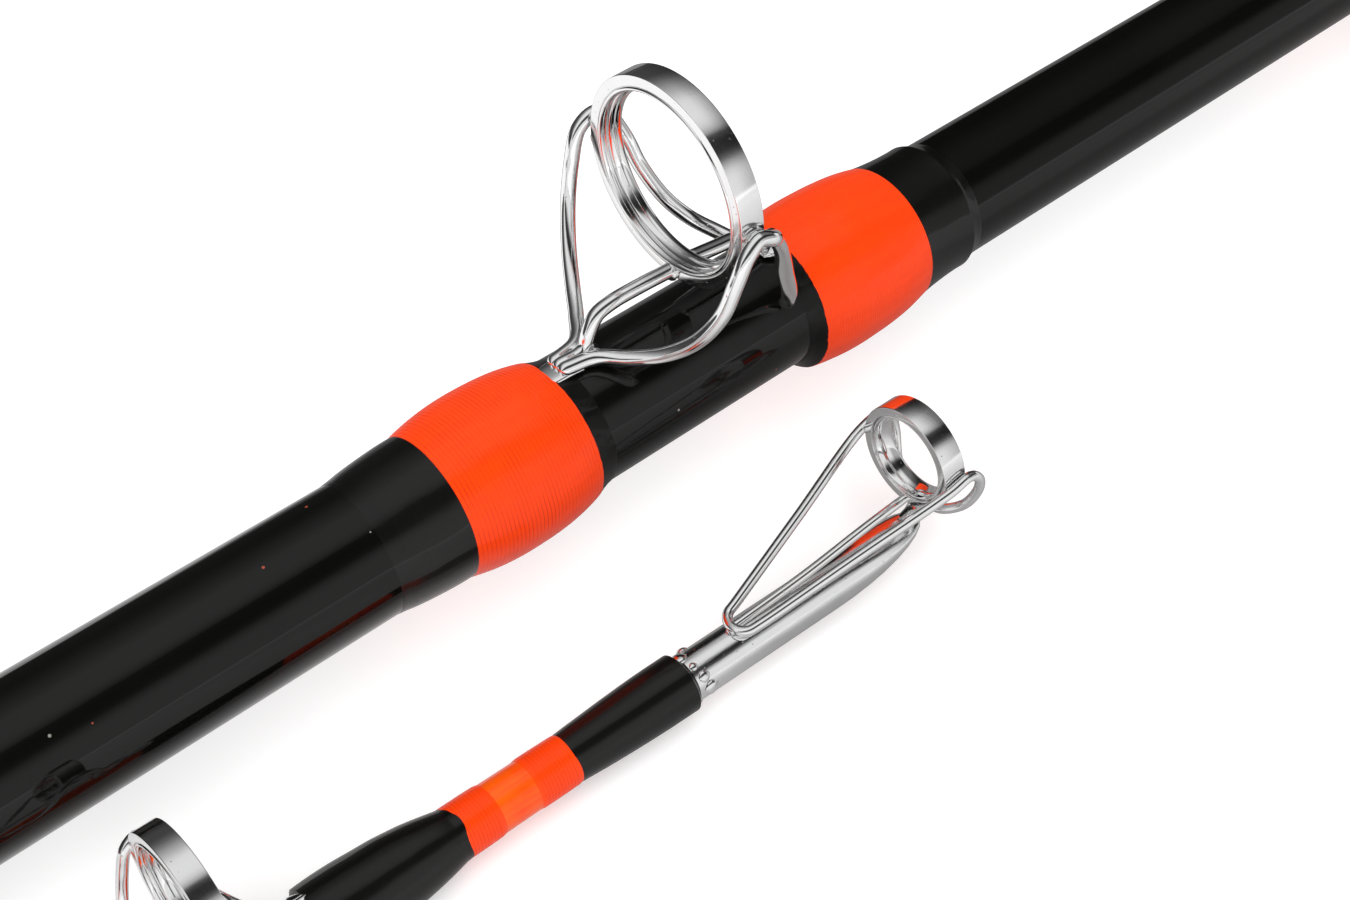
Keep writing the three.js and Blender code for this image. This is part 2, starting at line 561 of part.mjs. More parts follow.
// ---- The rod ----------------------------------------------------------------------------
function makeHandleSection() {
  const group = new THREE.Group();
  addPiece(group, 'butt_cap', makeButtCap(), FINISHES.rubber());
  addPiece(group, 'rear_grip', makeRearGrip(), FINISHES.foam());
  addPiece(group, 'rear_check', makeCheck(REAR_CHECK_X, CHECK_RADIUS), FINISHES.alloy());
  addPiece(group, 'reel_seat_barrel', makeSeatBarrel(), FINISHES.seat());
  addPiece(group, 'seat_arbor_rear', makeArbor(SEAT_X + ARBOR_INSET), FINISHES.arbor());
  addPiece(group, 'seat_arbor_front', makeArbor(SEAT_END - ARBOR_LENGTH - ARBOR_INSET), FINISHES.arbor());
  addPiece(group, 'fixed_hood', makeHood(FIXED_HOOD_X, true), FINISHES.alloy());
  addPiece(group, 'sliding_hood', makeHood(SLIDING_HOOD_X, false), FINISHES.alloy());
  addPiece(group, 'lock_nut', makeLockNut(), FINISHES.alloy());
  addPiece(group, 'fore_grip', makeForeGrip(), FINISHES.foam());
  addPiece(group, 'fore_check', makeCheck(FORE_CHECK_X, FORE_CHECK_RADIUS), FINISHES.alloy());
  addPiece(group, 'butt_blank', makeButtBlank(), FINISHES.graphite());
  addGuide(group, STRIPPER, blankRadius, HANDLE_SIDES, FINISHES.orangeThread);
  addGuide(group, MIDDLE, blankRadius, HANDLE_SIDES, FINISHES.orangeThread);
  addPiece(group, 'ferrule', makeFerrule(), FINISHES.alloy());
  const wrapX = FERRULE_X - BUTT_GAP - FERRULE_WRAP_LENGTH;
  addPiece(group, 'ferrule_wrap',
    makeWrap(wrapX, FERRULE_WRAP_LENGTH, blankRadius, FERRULE_WRAP_RISE, HANDLE_SIDES),
    FINISHES.blackThread());
  return group;
}

function makeTipSection() {
  const group = new THREE.Group();
  addPiece(group, 'tip_blank', makeTipBlank(), FINISHES.glass());
  addGuide(group, LOWER, tipRadius, TIP_SIDES, FINISHES.blackThread);
  addGuide(group, UPPER, tipRadius, TIP_SIDES, FINISHES.blackThread);
  addTipTop(group);
  makeTipWraps(group);
  const forward = new THREE.Vector3(Math.cos(TIP_YAW), Math.sin(TIP_YAW), 0);
  group.rotation.z = TIP_YAW;
  group.position.set(STRIPPER.x + TIP_AHEAD, -TIP_ASIDE, TIP_HEIGHT);
  group.position.addScaledVector(forward, -TIP_LENGTH);
  return group;
}

const rod = new THREE.Group();
rod.add(makeHandleSection(), makeTipSection());

export default rod;
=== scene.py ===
"""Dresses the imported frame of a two-piece ice fishing rod, lying taken down, and lights it."""
import json
import logging
import math
from dataclasses import dataclass, field
from enum import Enum
from typing import Callable, Sequence

import bmesh
import bpy
from mathutils import Matrix, Vector


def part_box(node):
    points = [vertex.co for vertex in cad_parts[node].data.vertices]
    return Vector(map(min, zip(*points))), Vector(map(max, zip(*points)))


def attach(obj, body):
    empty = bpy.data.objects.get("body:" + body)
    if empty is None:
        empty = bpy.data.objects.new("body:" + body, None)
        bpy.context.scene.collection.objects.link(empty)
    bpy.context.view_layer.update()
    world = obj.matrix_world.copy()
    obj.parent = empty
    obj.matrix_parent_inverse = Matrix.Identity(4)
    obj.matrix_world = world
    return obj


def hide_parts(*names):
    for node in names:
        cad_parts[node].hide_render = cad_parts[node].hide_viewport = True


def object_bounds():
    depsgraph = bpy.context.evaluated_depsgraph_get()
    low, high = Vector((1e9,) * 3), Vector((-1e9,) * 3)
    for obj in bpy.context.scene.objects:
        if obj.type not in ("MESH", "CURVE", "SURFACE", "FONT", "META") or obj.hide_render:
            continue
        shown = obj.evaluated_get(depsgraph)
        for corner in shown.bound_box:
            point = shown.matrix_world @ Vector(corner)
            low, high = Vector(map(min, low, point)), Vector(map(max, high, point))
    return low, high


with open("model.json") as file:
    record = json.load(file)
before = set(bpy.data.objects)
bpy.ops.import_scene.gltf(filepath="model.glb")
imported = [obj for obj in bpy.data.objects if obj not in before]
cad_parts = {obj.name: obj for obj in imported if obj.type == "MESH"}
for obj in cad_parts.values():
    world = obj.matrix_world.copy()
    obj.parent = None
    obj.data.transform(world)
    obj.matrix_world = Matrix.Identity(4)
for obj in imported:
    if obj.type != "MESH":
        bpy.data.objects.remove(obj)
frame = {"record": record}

CAD_BOUNDS = [list(corner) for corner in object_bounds()]
MM = 0.001
TAU = 2 * math.pi
SHARP_ANGLE = 38.0
BUTT_RADIUS = 5.19
BUTT_TAPER = 0.0038
BUTT_START = 6.0
CAP_SHARES = (1.0, 0.92, 0.7, 0.38)
COLLAR_SHARES = (0.0, 0.06, 0.3, 0.6, 0.85)
CLOSE_FIT = 0.02
LOOSE_FIT = 0.05
LOG = logging.getLogger("ice_rod")

Point = Sequence[float]
Pair = tuple[float, float]
Profile = list[Pair]
Levels = tuple[Pair, ...]
Piece = bpy.types.Object
Material = bpy.types.Material
Tree = bpy.types.NodeTree
Socket = bpy.types.NodeSocket


class Slot(Enum):
    """The record's material slots."""

    RUBBER = "butt_rubber"
    FOAM = "grip_foam"
    TRIM = "alloy_trim"
    SEAT = "seat_body"
    ARBOR = "arbor"
    HOOD = "hood_metal"
    NUT = "nut_metal"
    GRAPHITE = "graphite_blank"
    ORANGE_THREAD = "orange_thread"
    BLACK_THREAD = "black_thread"
    WIRE = "guide_wire"
    BAND = "ring_band"
    INSERT = "ring_insert"
    TUBE = "tube_metal"
    GLASS = "tip_glass"


# ---- Places ---------------------------------------------------------------------------------
@dataclass(frozen=True)
class Line:
    """A section's level axis: the place of its zero, in millimetres, and the way it runs."""

    origin: Vector
    yaw: float

    def place(self, point: Point) -> Vector:
        """Turns (along, aside, up) in millimetres into a place in the frame.

        Args:
            point: Distances from the line's zero along, across to the left, and up.

        Returns:
            The place in metres.
        """
        cosine, sine = math.cos(self.yaw), math.sin(self.yaw)
        x, y, z = point
        turned_point = Vector((x * cosine - y * sine, x * sine + y * cosine, z))
        return (self.origin + turned_point) * MM


def box_mm(node: str) -> tuple[Vector, Vector]:
    """Gives a CAD node's lowest and highest corners at rest.

    Args:
        node: The node's name.

    Returns:
        The two corners in millimetres.
    """
    low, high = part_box(node)
    return Vector(low) / MM, Vector(high) / MM


def centre_mm(node: str) -> Vector:
    """Gives the middle of a CAD node's box, in millimetres."""
    low, high = box_mm(node)
    return (low + high) / 2


def span_mm(node: str) -> Pair:
    """Gives where a CAD node starts and ends along X, in millimetres."""
    low, high = box_mm(node)
    return low.x, high.x


def handle_line() -> Line:
    """Gives the handle section's axis, which is the frame's X axis."""
    return Line(Vector((0, 0, 0)), 0.0)


def tip_line(shoulder_middle: float) -> Line:
    """Finds the tip section's axis from two of its wraps.

    Args:
        shoulder_middle: How far the shoulder wrap's middle lies from the male end.

    Returns:
        The axis, with its zero at the male end.
    """
    shoulder = centre_mm("shoulder_wrap")
    front = centre_mm("tip_tube_wrap")
    along = front - shoulder
    yaw = math.atan2(along.y, along.x)
    forward = Vector((math.cos(yaw), math.sin(yaw), 0))
    return Line(shoulder - forward * shoulder_middle, yaw)


# ---- Meshes ---------------------------------------------------------------------------------
def link_new(name: str, data: bpy.types.ID) -> Piece:
    """Makes an object of the data, in the scene and at the origin.

    Args:
        name: The object's name.
        data: Its mesh, lamp or camera data.

    Returns:
        The new object.
    """
    made = bpy.data.objects.new(name, data)
    bpy.context.scene.collection.objects.link(made)
    return made


def adopt(piece: Piece, node: str, slot: Slot,
          material: Material | None = None) -> None:
    """Lets a finished piece stand for a CAD node and ride on that node's body.

    Args:
        piece: The finished piece.
        node: The CAD node that it replaces.
        slot: The record's slot for the piece; not used.
        material: Its one material, or None where a tree has already given it one.
    """
    if material is not None:
        piece.data.materials.clear()
        piece.data.materials.append(material)
    bodies = frame["record"]["behaviour"]["bodies"]
    body = next(name for name, nodes in bodies.items() if node in nodes)
    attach(piece, body)
    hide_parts(node)
    LOG.info("%s: %d faces, on %s", piece.name, len(piece.data.polygons), body)


def settle(mesh: bpy.types.Mesh, sharp_angle: float) -> None:
    """Turns a closed mesh's faces outwards, smooths it and marks its sharp edges.

    Args:
        mesh: The mesh.
        sharp_angle: The angle between two faces, in degrees, past which their edge is sharp.
    """
    work = bmesh.new()
    work.from_mesh(mesh)
    if work.calc_volume(signed=True) < 0:
        bmesh.ops.reverse_faces(work, faces=work.faces[:])
    limit = math.radians(sharp_angle)
    for edge in work.edges:
        edge.smooth = not (edge.is_manifold and edge.calc_face_angle(0) > limit)
    for face in work.faces:
        face.smooth = True
    work.to_mesh(mesh)
    work.free()


def solid(name: str, points: list[Point], faces: list[Sequence[int]], line: Line,
          start: float = 0.0, sharp_angle: float = SHARP_ANGLE) -> Piece:
    """Makes a closed piece, and keeps each point's place on its own line in "local".

    Args:
        name: The piece's name.
        points: Its points on the line, in millimetres.
        faces: Its faces.
        line: The axis that the points are given on.
        start: The place along the line that "local" counts from.
        sharp_angle: The angle in degrees past which an edge is sharp.

    Returns:
        The new object, at the origin.
    """
    mesh = bpy.data.meshes.new(name)
    mesh.from_pydata([line.place(point) for point in points], [], faces)
    local = mesh.attributes.new("local", "FLOAT_VECTOR", "POINT")
    flat: list[float] = []
    for x, y, z in points:
        flat.extend((x - start, y, z))
    local.data.foreach_set("vector", flat)
    settle(mesh, sharp_angle)
    return link_new(name, mesh)


def ring_faces(count: int, sides: int, closed: bool) -> list[Sequence[int]]:
    """Joins rings of points that follow each other.

    Args:
        count: How many rings there are.
        sides: How many points each ring has.
        closed: Whether the last ring joins the first.

    Returns:
        The faces.
    """
    faces: list[Sequence[int]] = []
    for index in range(count if closed else count - 1):
        here, there = index * sides, (index + 1) % count * sides
        for side in range(sides):
            other = (side + 1) % sides
            faces.append((here + side, here + other, there + other, there + side))
    return faces


def eased(corners: Sequence[tuple[float, float, float]], closed: bool, steps: int = 5) -> Profile:
    """Rounds a profile's corners.

    Args:
        corners: Each corner's place along the line, its radius, and how far its rounding reaches.
        closed: Whether the last corner joins the first.
        steps: How many edges a rounding gets.

    Returns:
        The profile with its corners rounded.
    """
    profile: Profile = []
    count = len(corners)
    for index, (x, radius, reach) in enumerate(corners):
        corner = Vector((x, radius))
        is_end = not closed and index in (0, count - 1)
        if reach <= 0 or is_end:
            profile.append((x, radius))
            continue
        before = Vector(corners[index - 1][:2]) - corner
        after = Vector(corners[(index + 1) % count][:2]) - corner
        first = corner + before.normalized() * min(reach, before.length * 0.48)
        last = corner + after.normalized() * min(reach, after.length * 0.48)
        for step in range(steps + 1):
            t = step / steps
            spot = first * (1 - t) ** 2 + corner * (2 * t * (1 - t)) + last * t ** 2
            profile.append((spot.x, spot.y))
    return profile


def turned(name: str, profile: Profile, line: Line, sides: int = 96, height: float = 0.0,
           sleeve: bool = True, sharp_angle: float = SHARP_ANGLE) -> Piece:
    """Turns a profile about the line, or about a line above it.

    Args:
        name: The piece's name.
        profile: Pairs of place along the line and radius, in millimetres.
        line: The section's axis.
        sides: How many sides the turned piece gets.
        height: How far above the line the turning axis lies.
        sleeve: Whether the profile closes on itself; otherwise it starts and ends on the axis.
        sharp_angle: The angle in degrees past which an edge is sharp.

    Returns:
        The new piece.
    """
    points: list[Point] = []
    faces: list[Sequence[int]] = []
    rings: list[list[int]] = []
    for x, radius in profile:
        first = len(points)
        if radius < 1e-6:
            points.append((x, 0.0, height))
            rings.append([first])
            continue
        for side in range(sides):
            angle = TAU * side / sides
            points.append((x, radius * math.sin(angle), height + radius * math.cos(angle)))
        rings.append(list(range(first, first + sides)))
    following = rings[1:] + ([rings[0]] if sleeve else [])
    for ring, next_ring in zip(rings, following):
        for side in range(sides):
            other = (side + 1) % sides
            if len(ring) == 1 and len(next_ring) == 1:
                break
            if len(ring) == 1:
                faces.append((ring[0], next_ring[other], next_ring[side]))
            elif len(next_ring) == 1:
                faces.append((ring[side], ring[other], next_ring[0]))
            else:
                faces.append((ring[side], ring[other], next_ring[other], next_ring[side]))
    start = min(x for x, _ in profile)
    return solid(name, points, faces, line, start, sharp_angle)


def smooth_path(points: Sequence[Point], spacing: float) -> list[Vector]:
    """Runs a smooth centripetal curve through the points.

    Args:
        points: The points, in millimetres.
        spacing: About how far apart the result's points lie.

    Returns:
        The curve's points.
    """
    knots = [Vector(point) for point in points]
    knots = [knots[0] * 2 - knots[1]] + knots + [knots[-1] * 2 - knots[-2]]
    result: list[Vector] = []
    for index in range(1, len(knots) - 2):
        a, b, c, d = knots[index - 1:index + 3]
        t0 = 0.0
        t1 = t0 + (b - a).length ** 0.5
        t2 = t1 + (c - b).length ** 0.5
        t3 = t2 + (d - c).length ** 0.5
        count = max(2, round((c - b).length / spacing))
        for step in range(count):
            t = t1 + (t2 - t1) * step / count
            ab = a * ((t1 - t) / (t1 - t0)) + b * ((t - t0) / (t1 - t0))
            bc = b * ((t2 - t) / (t2 - t1)) + c * ((t - t1) / (t2 - t1))
            cd = c * ((t3 - t) / (t3 - t2)) + d * ((t - t2) / (t3 - t2))
            abc = ab * ((t2 - t) / (t2 - t0)) + bc * ((t - t0) / (t2 - t0))
            bcd = bc * ((t3 - t) / (t3 - t1)) + cd * ((t - t1) / (t3 - t1))
            result.append(abc * ((t2 - t) / (t2 - t1)) + bcd * ((t - t1) / (t2 - t1)))
    result.append(knots[-2].copy())
    return result


@dataclass(frozen=True)
class Station:
    """One cross-section of a lofted piece: its centre, upward direction and half sizes."""

    centre: tuple[float, float, float]
    up: tuple[float, float, float]
    half_width: float
    half_depth: float


def lofted(name: str, stations: Sequence[Station], line: Line, sides: int = 24,
           squareness: float = 2.6) -> Piece:
    """Lofts a closed piece through cross-sections with rounded corners.

    Args:
        name: The piece's name.
        stations: The cross-sections, in order.
        line: The section's axis.
        sides: How many sides each cross-section gets.
        squareness: 2 makes the cross-sections ellipses, and more makes them squarer.

    Returns:
        The new piece.
    """
    points: list[Point] = []
    centres = [Vector(station.centre) for station in stations]
    for index, station in enumerate(stations):
        ahead = centres[min(index + 1, len(centres) - 1)] - centres[max(index - 1, 0)]
        across = ahead.cross(Vector(station.up)).normalized()
        up = across.cross(ahead).normalized()
        for side in range(sides):
            angle = TAU * side / sides
            cosine, sine = math.cos(angle), math.sin(angle)
            power = 2 / squareness
            a = math.copysign(abs(cosine) ** power, cosine) * station.half_width
            b = math.copysign(abs(sine) ** power, sine) * station.half_depth
            points.append(tuple(centres[index] + across * a + up * b))
    faces = ring_faces(len(stations), sides, False)
    faces.append(list(range(sides)))
    last_row = (len(stations) - 1) * sides
    faces.append(list(range(last_row + sides - 1, last_row - 1, -1)))
    return solid(name, points, faces, line, 0.0, 60.0)


def fuse(name: str, parts: Sequence[Piece]) -> Piece:
    """Puts several meshes that are soldered together into one piece.

    Args:
        name: The piece's name.
        parts: The meshes, of which the first one gives its materials; all of them are removed.

    Returns:
        The joined piece.
    """
    work = bmesh.new()
    for part in parts:
        work.from_mesh(part.data)
    mesh = bpy.data.meshes.new(name)
    work.to_mesh(mesh)
    work.free()
    for material in parts[0].data.materials:
        mesh.materials.append(material)
    piece = link_new(name, mesh)
    for part in parts:
        bpy.data.objects.remove(part)
    return piece


# ---- Node trees -------------------------------------------------------------------------------
class Sheet:
    """Adds nodes to one node tree, step by step."""

    def __init__(self, tree: Tree) -> None:
        """Starts on an empty tree."""
        self.tree = tree
        tree.nodes.clear()

    def node(self, kind: str, links: dict[str | int, object] | None = None,
             **settings: object) -> bpy.types.Node:
        """Adds a node.

        Args:
            kind: The node's type.
            links: What goes into its inputs: an output socket, or a value.
            **settings: The node's own settings.

        Returns:
            The node.
        """
        node = self.tree.nodes.new(kind)
        for key, value in settings.items():
            setattr(node, key, value)
        for key, value in (links or {}).items():
            if isinstance(value, Socket):
                self.tree.links.new(value, node.inputs[key])
            else:
                node.inputs[key].default_value = value
        return node

    def math(self, operation: str, first: object, second: object = 0.0) -> Socket:
        """Adds a Math node and gives its result."""
        return self.node("ShaderNodeMath", {0: first, 1: second}, operation=operation).outputs[0]

    def part(self, vector: Socket, label: str) -> Socket:
        """Gives one component of a vector."""
        return self.node("ShaderNodeSeparateXYZ", {0: vector}).outputs[label]

    def seen(self, operation: str) -> Socket:
        """Gives 1 for camera, mirror and transmission rays, and 0 for the rest.

        Args:
            operation: The Math operation that brings the three together.

        Returns:
            The result.
        """
        path = self.node("ShaderNodeLightPath")
        both = self.math(operation, path.outputs["Is Camera Ray"], path.outputs["Is Glossy Ray"])
        return self.math(operation, both, path.outputs["Is Transmission Ray"])


class TreeSheet(Sheet):
    """Builds one Geometry Nodes tree with named inputs."""

    def __init__(self, name: str, inputs: dict[str, float]) -> None:
        """Starts the tree.

        Args:
            name: The tree's name.
            inputs: The names of its number inputs, with what they are when left alone. A whole
                number makes a whole-number input.
        """
        super().__init__(bpy.data.node_groups.new(name, "GeometryNodeTree"))
        interface = self.tree.interface
        interface.new_socket("Geometry", in_out="INPUT", socket_type="NodeSocketGeometry")
        for label, value in inputs.items():
            kind = "NodeSocketInt" if isinstance(value, int) else "NodeSocketFloat"
            interface.new_socket(label, in_out="INPUT", socket_type=kind).default_value = value
        interface.new_socket("Finish", in_out="INPUT", socket_type="NodeSocketMaterial")
        interface.new_socket("Geometry", in_out="OUTPUT", socket_type="NodeSocketGeometry")
        self.inputs = self.tree.nodes.new("NodeGroupInput").outputs

    def attribute(self, name: str, kind: str) -> Socket:
        """Reads one of the mesh's own attributes."""
        return self.node("GeometryNodeInputNamedAttribute", {"Name": name},
                         data_type=kind).outputs["Attribute"]

    def laid_along_x(self, made: bpy.types.Node, start: Socket) -> Tree:
        """Turns what a node made from Z to X, sets it on the piece and ends the tree.

        Args:
            made: The node.
            start: Where it lies along X.

        Returns:
            The finished tree.
        """
        place = self.node("ShaderNodeCombineXYZ", {"X": start})
        laid = self.node("GeometryNodeTransform", {
            "Geometry": made.outputs[0], "Translation": place.outputs[0],
            "Rotation": (0.0, math.pi / 2, 0.0),
        })
        both = self.node("GeometryNodeJoinGeometry")
        for geometry in (self.inputs["Geometry"], laid.outputs[0]):
            self.tree.links.new(geometry, both.inputs[0])
        return self.finish(both.outputs[0])

    def finish(self, geometry: Socket) -> Tree:
        """Ends the tree with real, painted geometry.

        Args:
            geometry: What the tree made.

        Returns:
            The finished tree.
        """
        smooth = self.node("GeometryNodeSetShadeSmooth", {"Geometry": geometry})
        real = self.node("GeometryNodeRealizeInstances", {"Geometry": smooth.outputs[0]})
        painted = self.node("GeometryNodeSetMaterial", {
            "Geometry": real.outputs[0], "Material": self.inputs["Finish"],
        })
        self.node("NodeGroupOutput", {"Geometry": painted.outputs[0]})
        return self.tree


def run_tree(piece: Piece, tree: Tree, finish: Material,
             **sizes: float) -> Piece:
    """Runs a tree on a piece and keeps the result as its plain mesh.

    Args:
        piece: The piece that the tree starts from.
        tree: The tree.
        finish: The material that the tree gives it.
        **sizes: The tree's named inputs, with underscores for spaces.

    Returns:
        The same piece, with its new mesh.
    """
    modifier = piece.modifiers.new(tree.name, "NODES")
    modifier.node_group = tree
    wanted = {name.replace("_", " "): value for name, value in sizes.items()}
    wanted["finish"] = finish
    for item in tree.interface.items_tree:
        if item.item_type == "SOCKET" and item.in_out == "INPUT" and item.name.lower() in wanted:
            modifier[item.identifier] = wanted[item.name.lower()]
    depsgraph = bpy.context.evaluated_depsgraph_get()
    evaluated = piece.evaluated_get(depsgraph)
    mesh = bpy.data.meshes.new_from_object(
        evaluated, preserve_all_data_layers=True, depsgraph=depsgraph)
    piece.modifiers.remove(modifier)
    mesh.name = piece.name
    piece.data = mesh
    return piece


def wire_tree() -> Tree:
    """Builds the tree that draws a round wire along a path, as thick as its points say.

    Returns:
        The finished tree.
    """
    sheet = TreeSheet("drawn_wire", {"Sides": 20})
    path = sheet.node("GeometryNodeMeshToCurve", {"Mesh": sheet.inputs["Geometry"]})
    circle = sheet.node("GeometryNodeCurvePrimitiveCircle", {
        "Resolution": sheet.inputs["Sides"], "Radius": 1.0,
    })
    girth = sheet.attribute("girth", "FLOAT")
    drawn = sheet.node("GeometryNodeCurveToMesh", {
        "Curve": path.outputs[0], "Profile Curve": circle.outputs[0],
        "Scale": girth, "Fill Caps": True,
    })
    return sheet.finish(drawn.outputs[0])


def winding_tree() -> Tree:
    """Builds the tree that raises thread turns and slow epoxy waves on a wrap's skin.

    Returns:
        The finished tree.
    """
    sheet = TreeSheet("wound_skin", {
        "Pitch": 0.16, "Ridge": 0.002, "Wave": 0.02, "Wave Size": 3.0, "Start": 0.0, "End": 8.0,
        "Seed": 1,
    })
    local = sheet.attribute("local", "FLOAT_VECTOR")
    skin = sheet.attribute("skin", "FLOAT")
    along = sheet.part(local, "X")
    turns = sheet.math("DIVIDE", along, sheet.inputs["Pitch"])
    ridge = sheet.math("SINE", sheet.math("MULTIPLY", turns, TAU))
    ridge = sheet.math("MULTIPLY", ridge, sheet.inputs["Ridge"])
    from_start = sheet.math("GREATER_THAN", along, sheet.inputs["Start"])
    to_end = sheet.math("LESS_THAN", along, sheet.inputs["End"])
    ridge = sheet.math("MULTIPLY", ridge, sheet.math("MULTIPLY", from_start, to_end))
    seed = sheet.math("MULTIPLY", sheet.inputs["Seed"], 7.31)
    noise = sheet.node("ShaderNodeTexNoise", {
        "Vector": local, "W": seed, "Scale": sheet.math("DIVIDE", 1.0, sheet.inputs["Wave Size"]),
        "Detail": 1.0, "Roughness": 0.4,
    }, noise_dimensions="4D")
    wave = sheet.math("SUBTRACT", noise.outputs[0], 0.5)
    wave = sheet.math("MULTIPLY", wave, sheet.inputs["Wave"])
    lift = sheet.math("MULTIPLY", sheet.math("ADD", ridge, wave), skin)
    lift = sheet.math("MULTIPLY", lift, MM)
    normal = sheet.node("GeometryNodeInputNormal")
    offset = sheet.node("ShaderNodeVectorMath", {
        0: normal.outputs[0], "Scale": lift,
    }, operation="SCALE")
    raised = sheet.node("GeometryNodeSetPosition", {
        "Geometry": sheet.inputs["Geometry"], "Offset": offset.outputs[0],
    })
    return sheet.finish(raised.outputs[0])


def spiral_tree() -> Tree:
    """Builds the tree that lays a screw thread round a barrel that runs along X.

    Returns:
        The finished tree.
    """
    sheet = TreeSheet("screw_thread", {
        "Start": 0.0, "Length": 0.02, "Radius": 0.008, "Turns": 12.0, "Depth": 0.0005,
    })
    spiral = sheet.node("GeometryNodeCurveSpiral", {
        "Resolution": 72, "Rotations": sheet.inputs["Turns"],
        "Start Radius": sheet.inputs["Radius"], "End Radius": sheet.inputs["Radius"],
        "Height": sheet.inputs["Length"],
    })
    crest = sheet.node("GeometryNodeCurvePrimitiveCircle", {
        "Resolution": 8, "Radius": sheet.inputs["Depth"],
    })
    ridge = sheet.node("GeometryNodeCurveToMesh", {
        "Curve": spiral.outputs[0], "Profile Curve": crest.outputs[0], "Fill Caps": True,
    })
    return sheet.laid_along_x(ridge, sheet.inputs["Start"])


def rib_tree() -> Tree:
    """Builds the tree that sets straight ribs round a nut or collar that lies along X.

    Returns:
        The finished tree.
    """
    sheet = TreeSheet("grip_ribs", {
        "Middle": 0.0, "Length": 0.005, "Radius": 0.01, "Rib": 0.0004, "Count": 40,
    })
    circle = sheet.node("GeometryNodeMeshCircle", {
        "Vertices": sheet.inputs["Count"], "Radius": sheet.inputs["Radius"],
    })
    rib = sheet.node("GeometryNodeMeshCylinder", {
        "Vertices": 8, "Radius": sheet.inputs["Rib"], "Depth": sheet.inputs["Length"],
    })
    ribs = sheet.node("GeometryNodeInstanceOnPoints", {
        "Points": circle.outputs[0], "Instance": rib.outputs[0],
    })
    return sheet.laid_along_x(ribs, sheet.inputs["Middle"])


@dataclass
class Trees:
    """The rod's Geometry Nodes trees, each built once."""

    wire: Tree = field(default_factory=wire_tree)
    winding: Tree = field(default_factory=winding_tree)
    spiral: Tree = field(default_factory=spiral_tree)
    ribs: Tree = field(default_factory=rib_tree)


def drawn_wire(name: str, path: Sequence[Point], radius: float, line: Line, trees: Trees,
               finish: Material, spacing: float = 0.22) -> Piece:
    """Draws a round wire with rounded ends through the points.

    Args:
        name: The piece's name.
        path: The points, in millimetres on the line.
        radius: The wire's radius.
        line: The section's axis.
        trees: The rod's trees.
        finish: The wire's material.
        spacing: About how far apart the wire's rings lie.

    Returns:
        The wire.
    """
    points = smooth_path(path, spacing)

    def cap(tip: Vector, before: Vector) -> list[tuple[Vector, float]]:
        """Rounds an end of the wire.

        Args:
            tip: The wire's last point.
            before: The point before it.

        Returns:
            The points past the end, from the farthest one, each with its radius.
        """
        ahead = (tip - before).normalized() * radius
        return [(tip + ahead * share, radius * math.sqrt(max(1.02 - share * share, 0.02)))
                for share in CAP_SHARES]

    rows = cap(points[0], points[1]) + [(point, radius) for point in points]
    rows += cap(points[-1], points[-2])[::-1]
    mesh = bpy.data.meshes.new(name)
    edges = [(index, index + 1) for index in range(len(rows) - 1)]
    mesh.from_pydata([line.place(tuple(point)) for point, _ in rows], edges, [])
    girth = mesh.attributes.new("girth", "FLOAT", "POINT")
    girth.data.foreach_set("value", [thick * MM for _, thick in rows])
    return run_tree(link_new(name, mesh), trees.wire, finish)


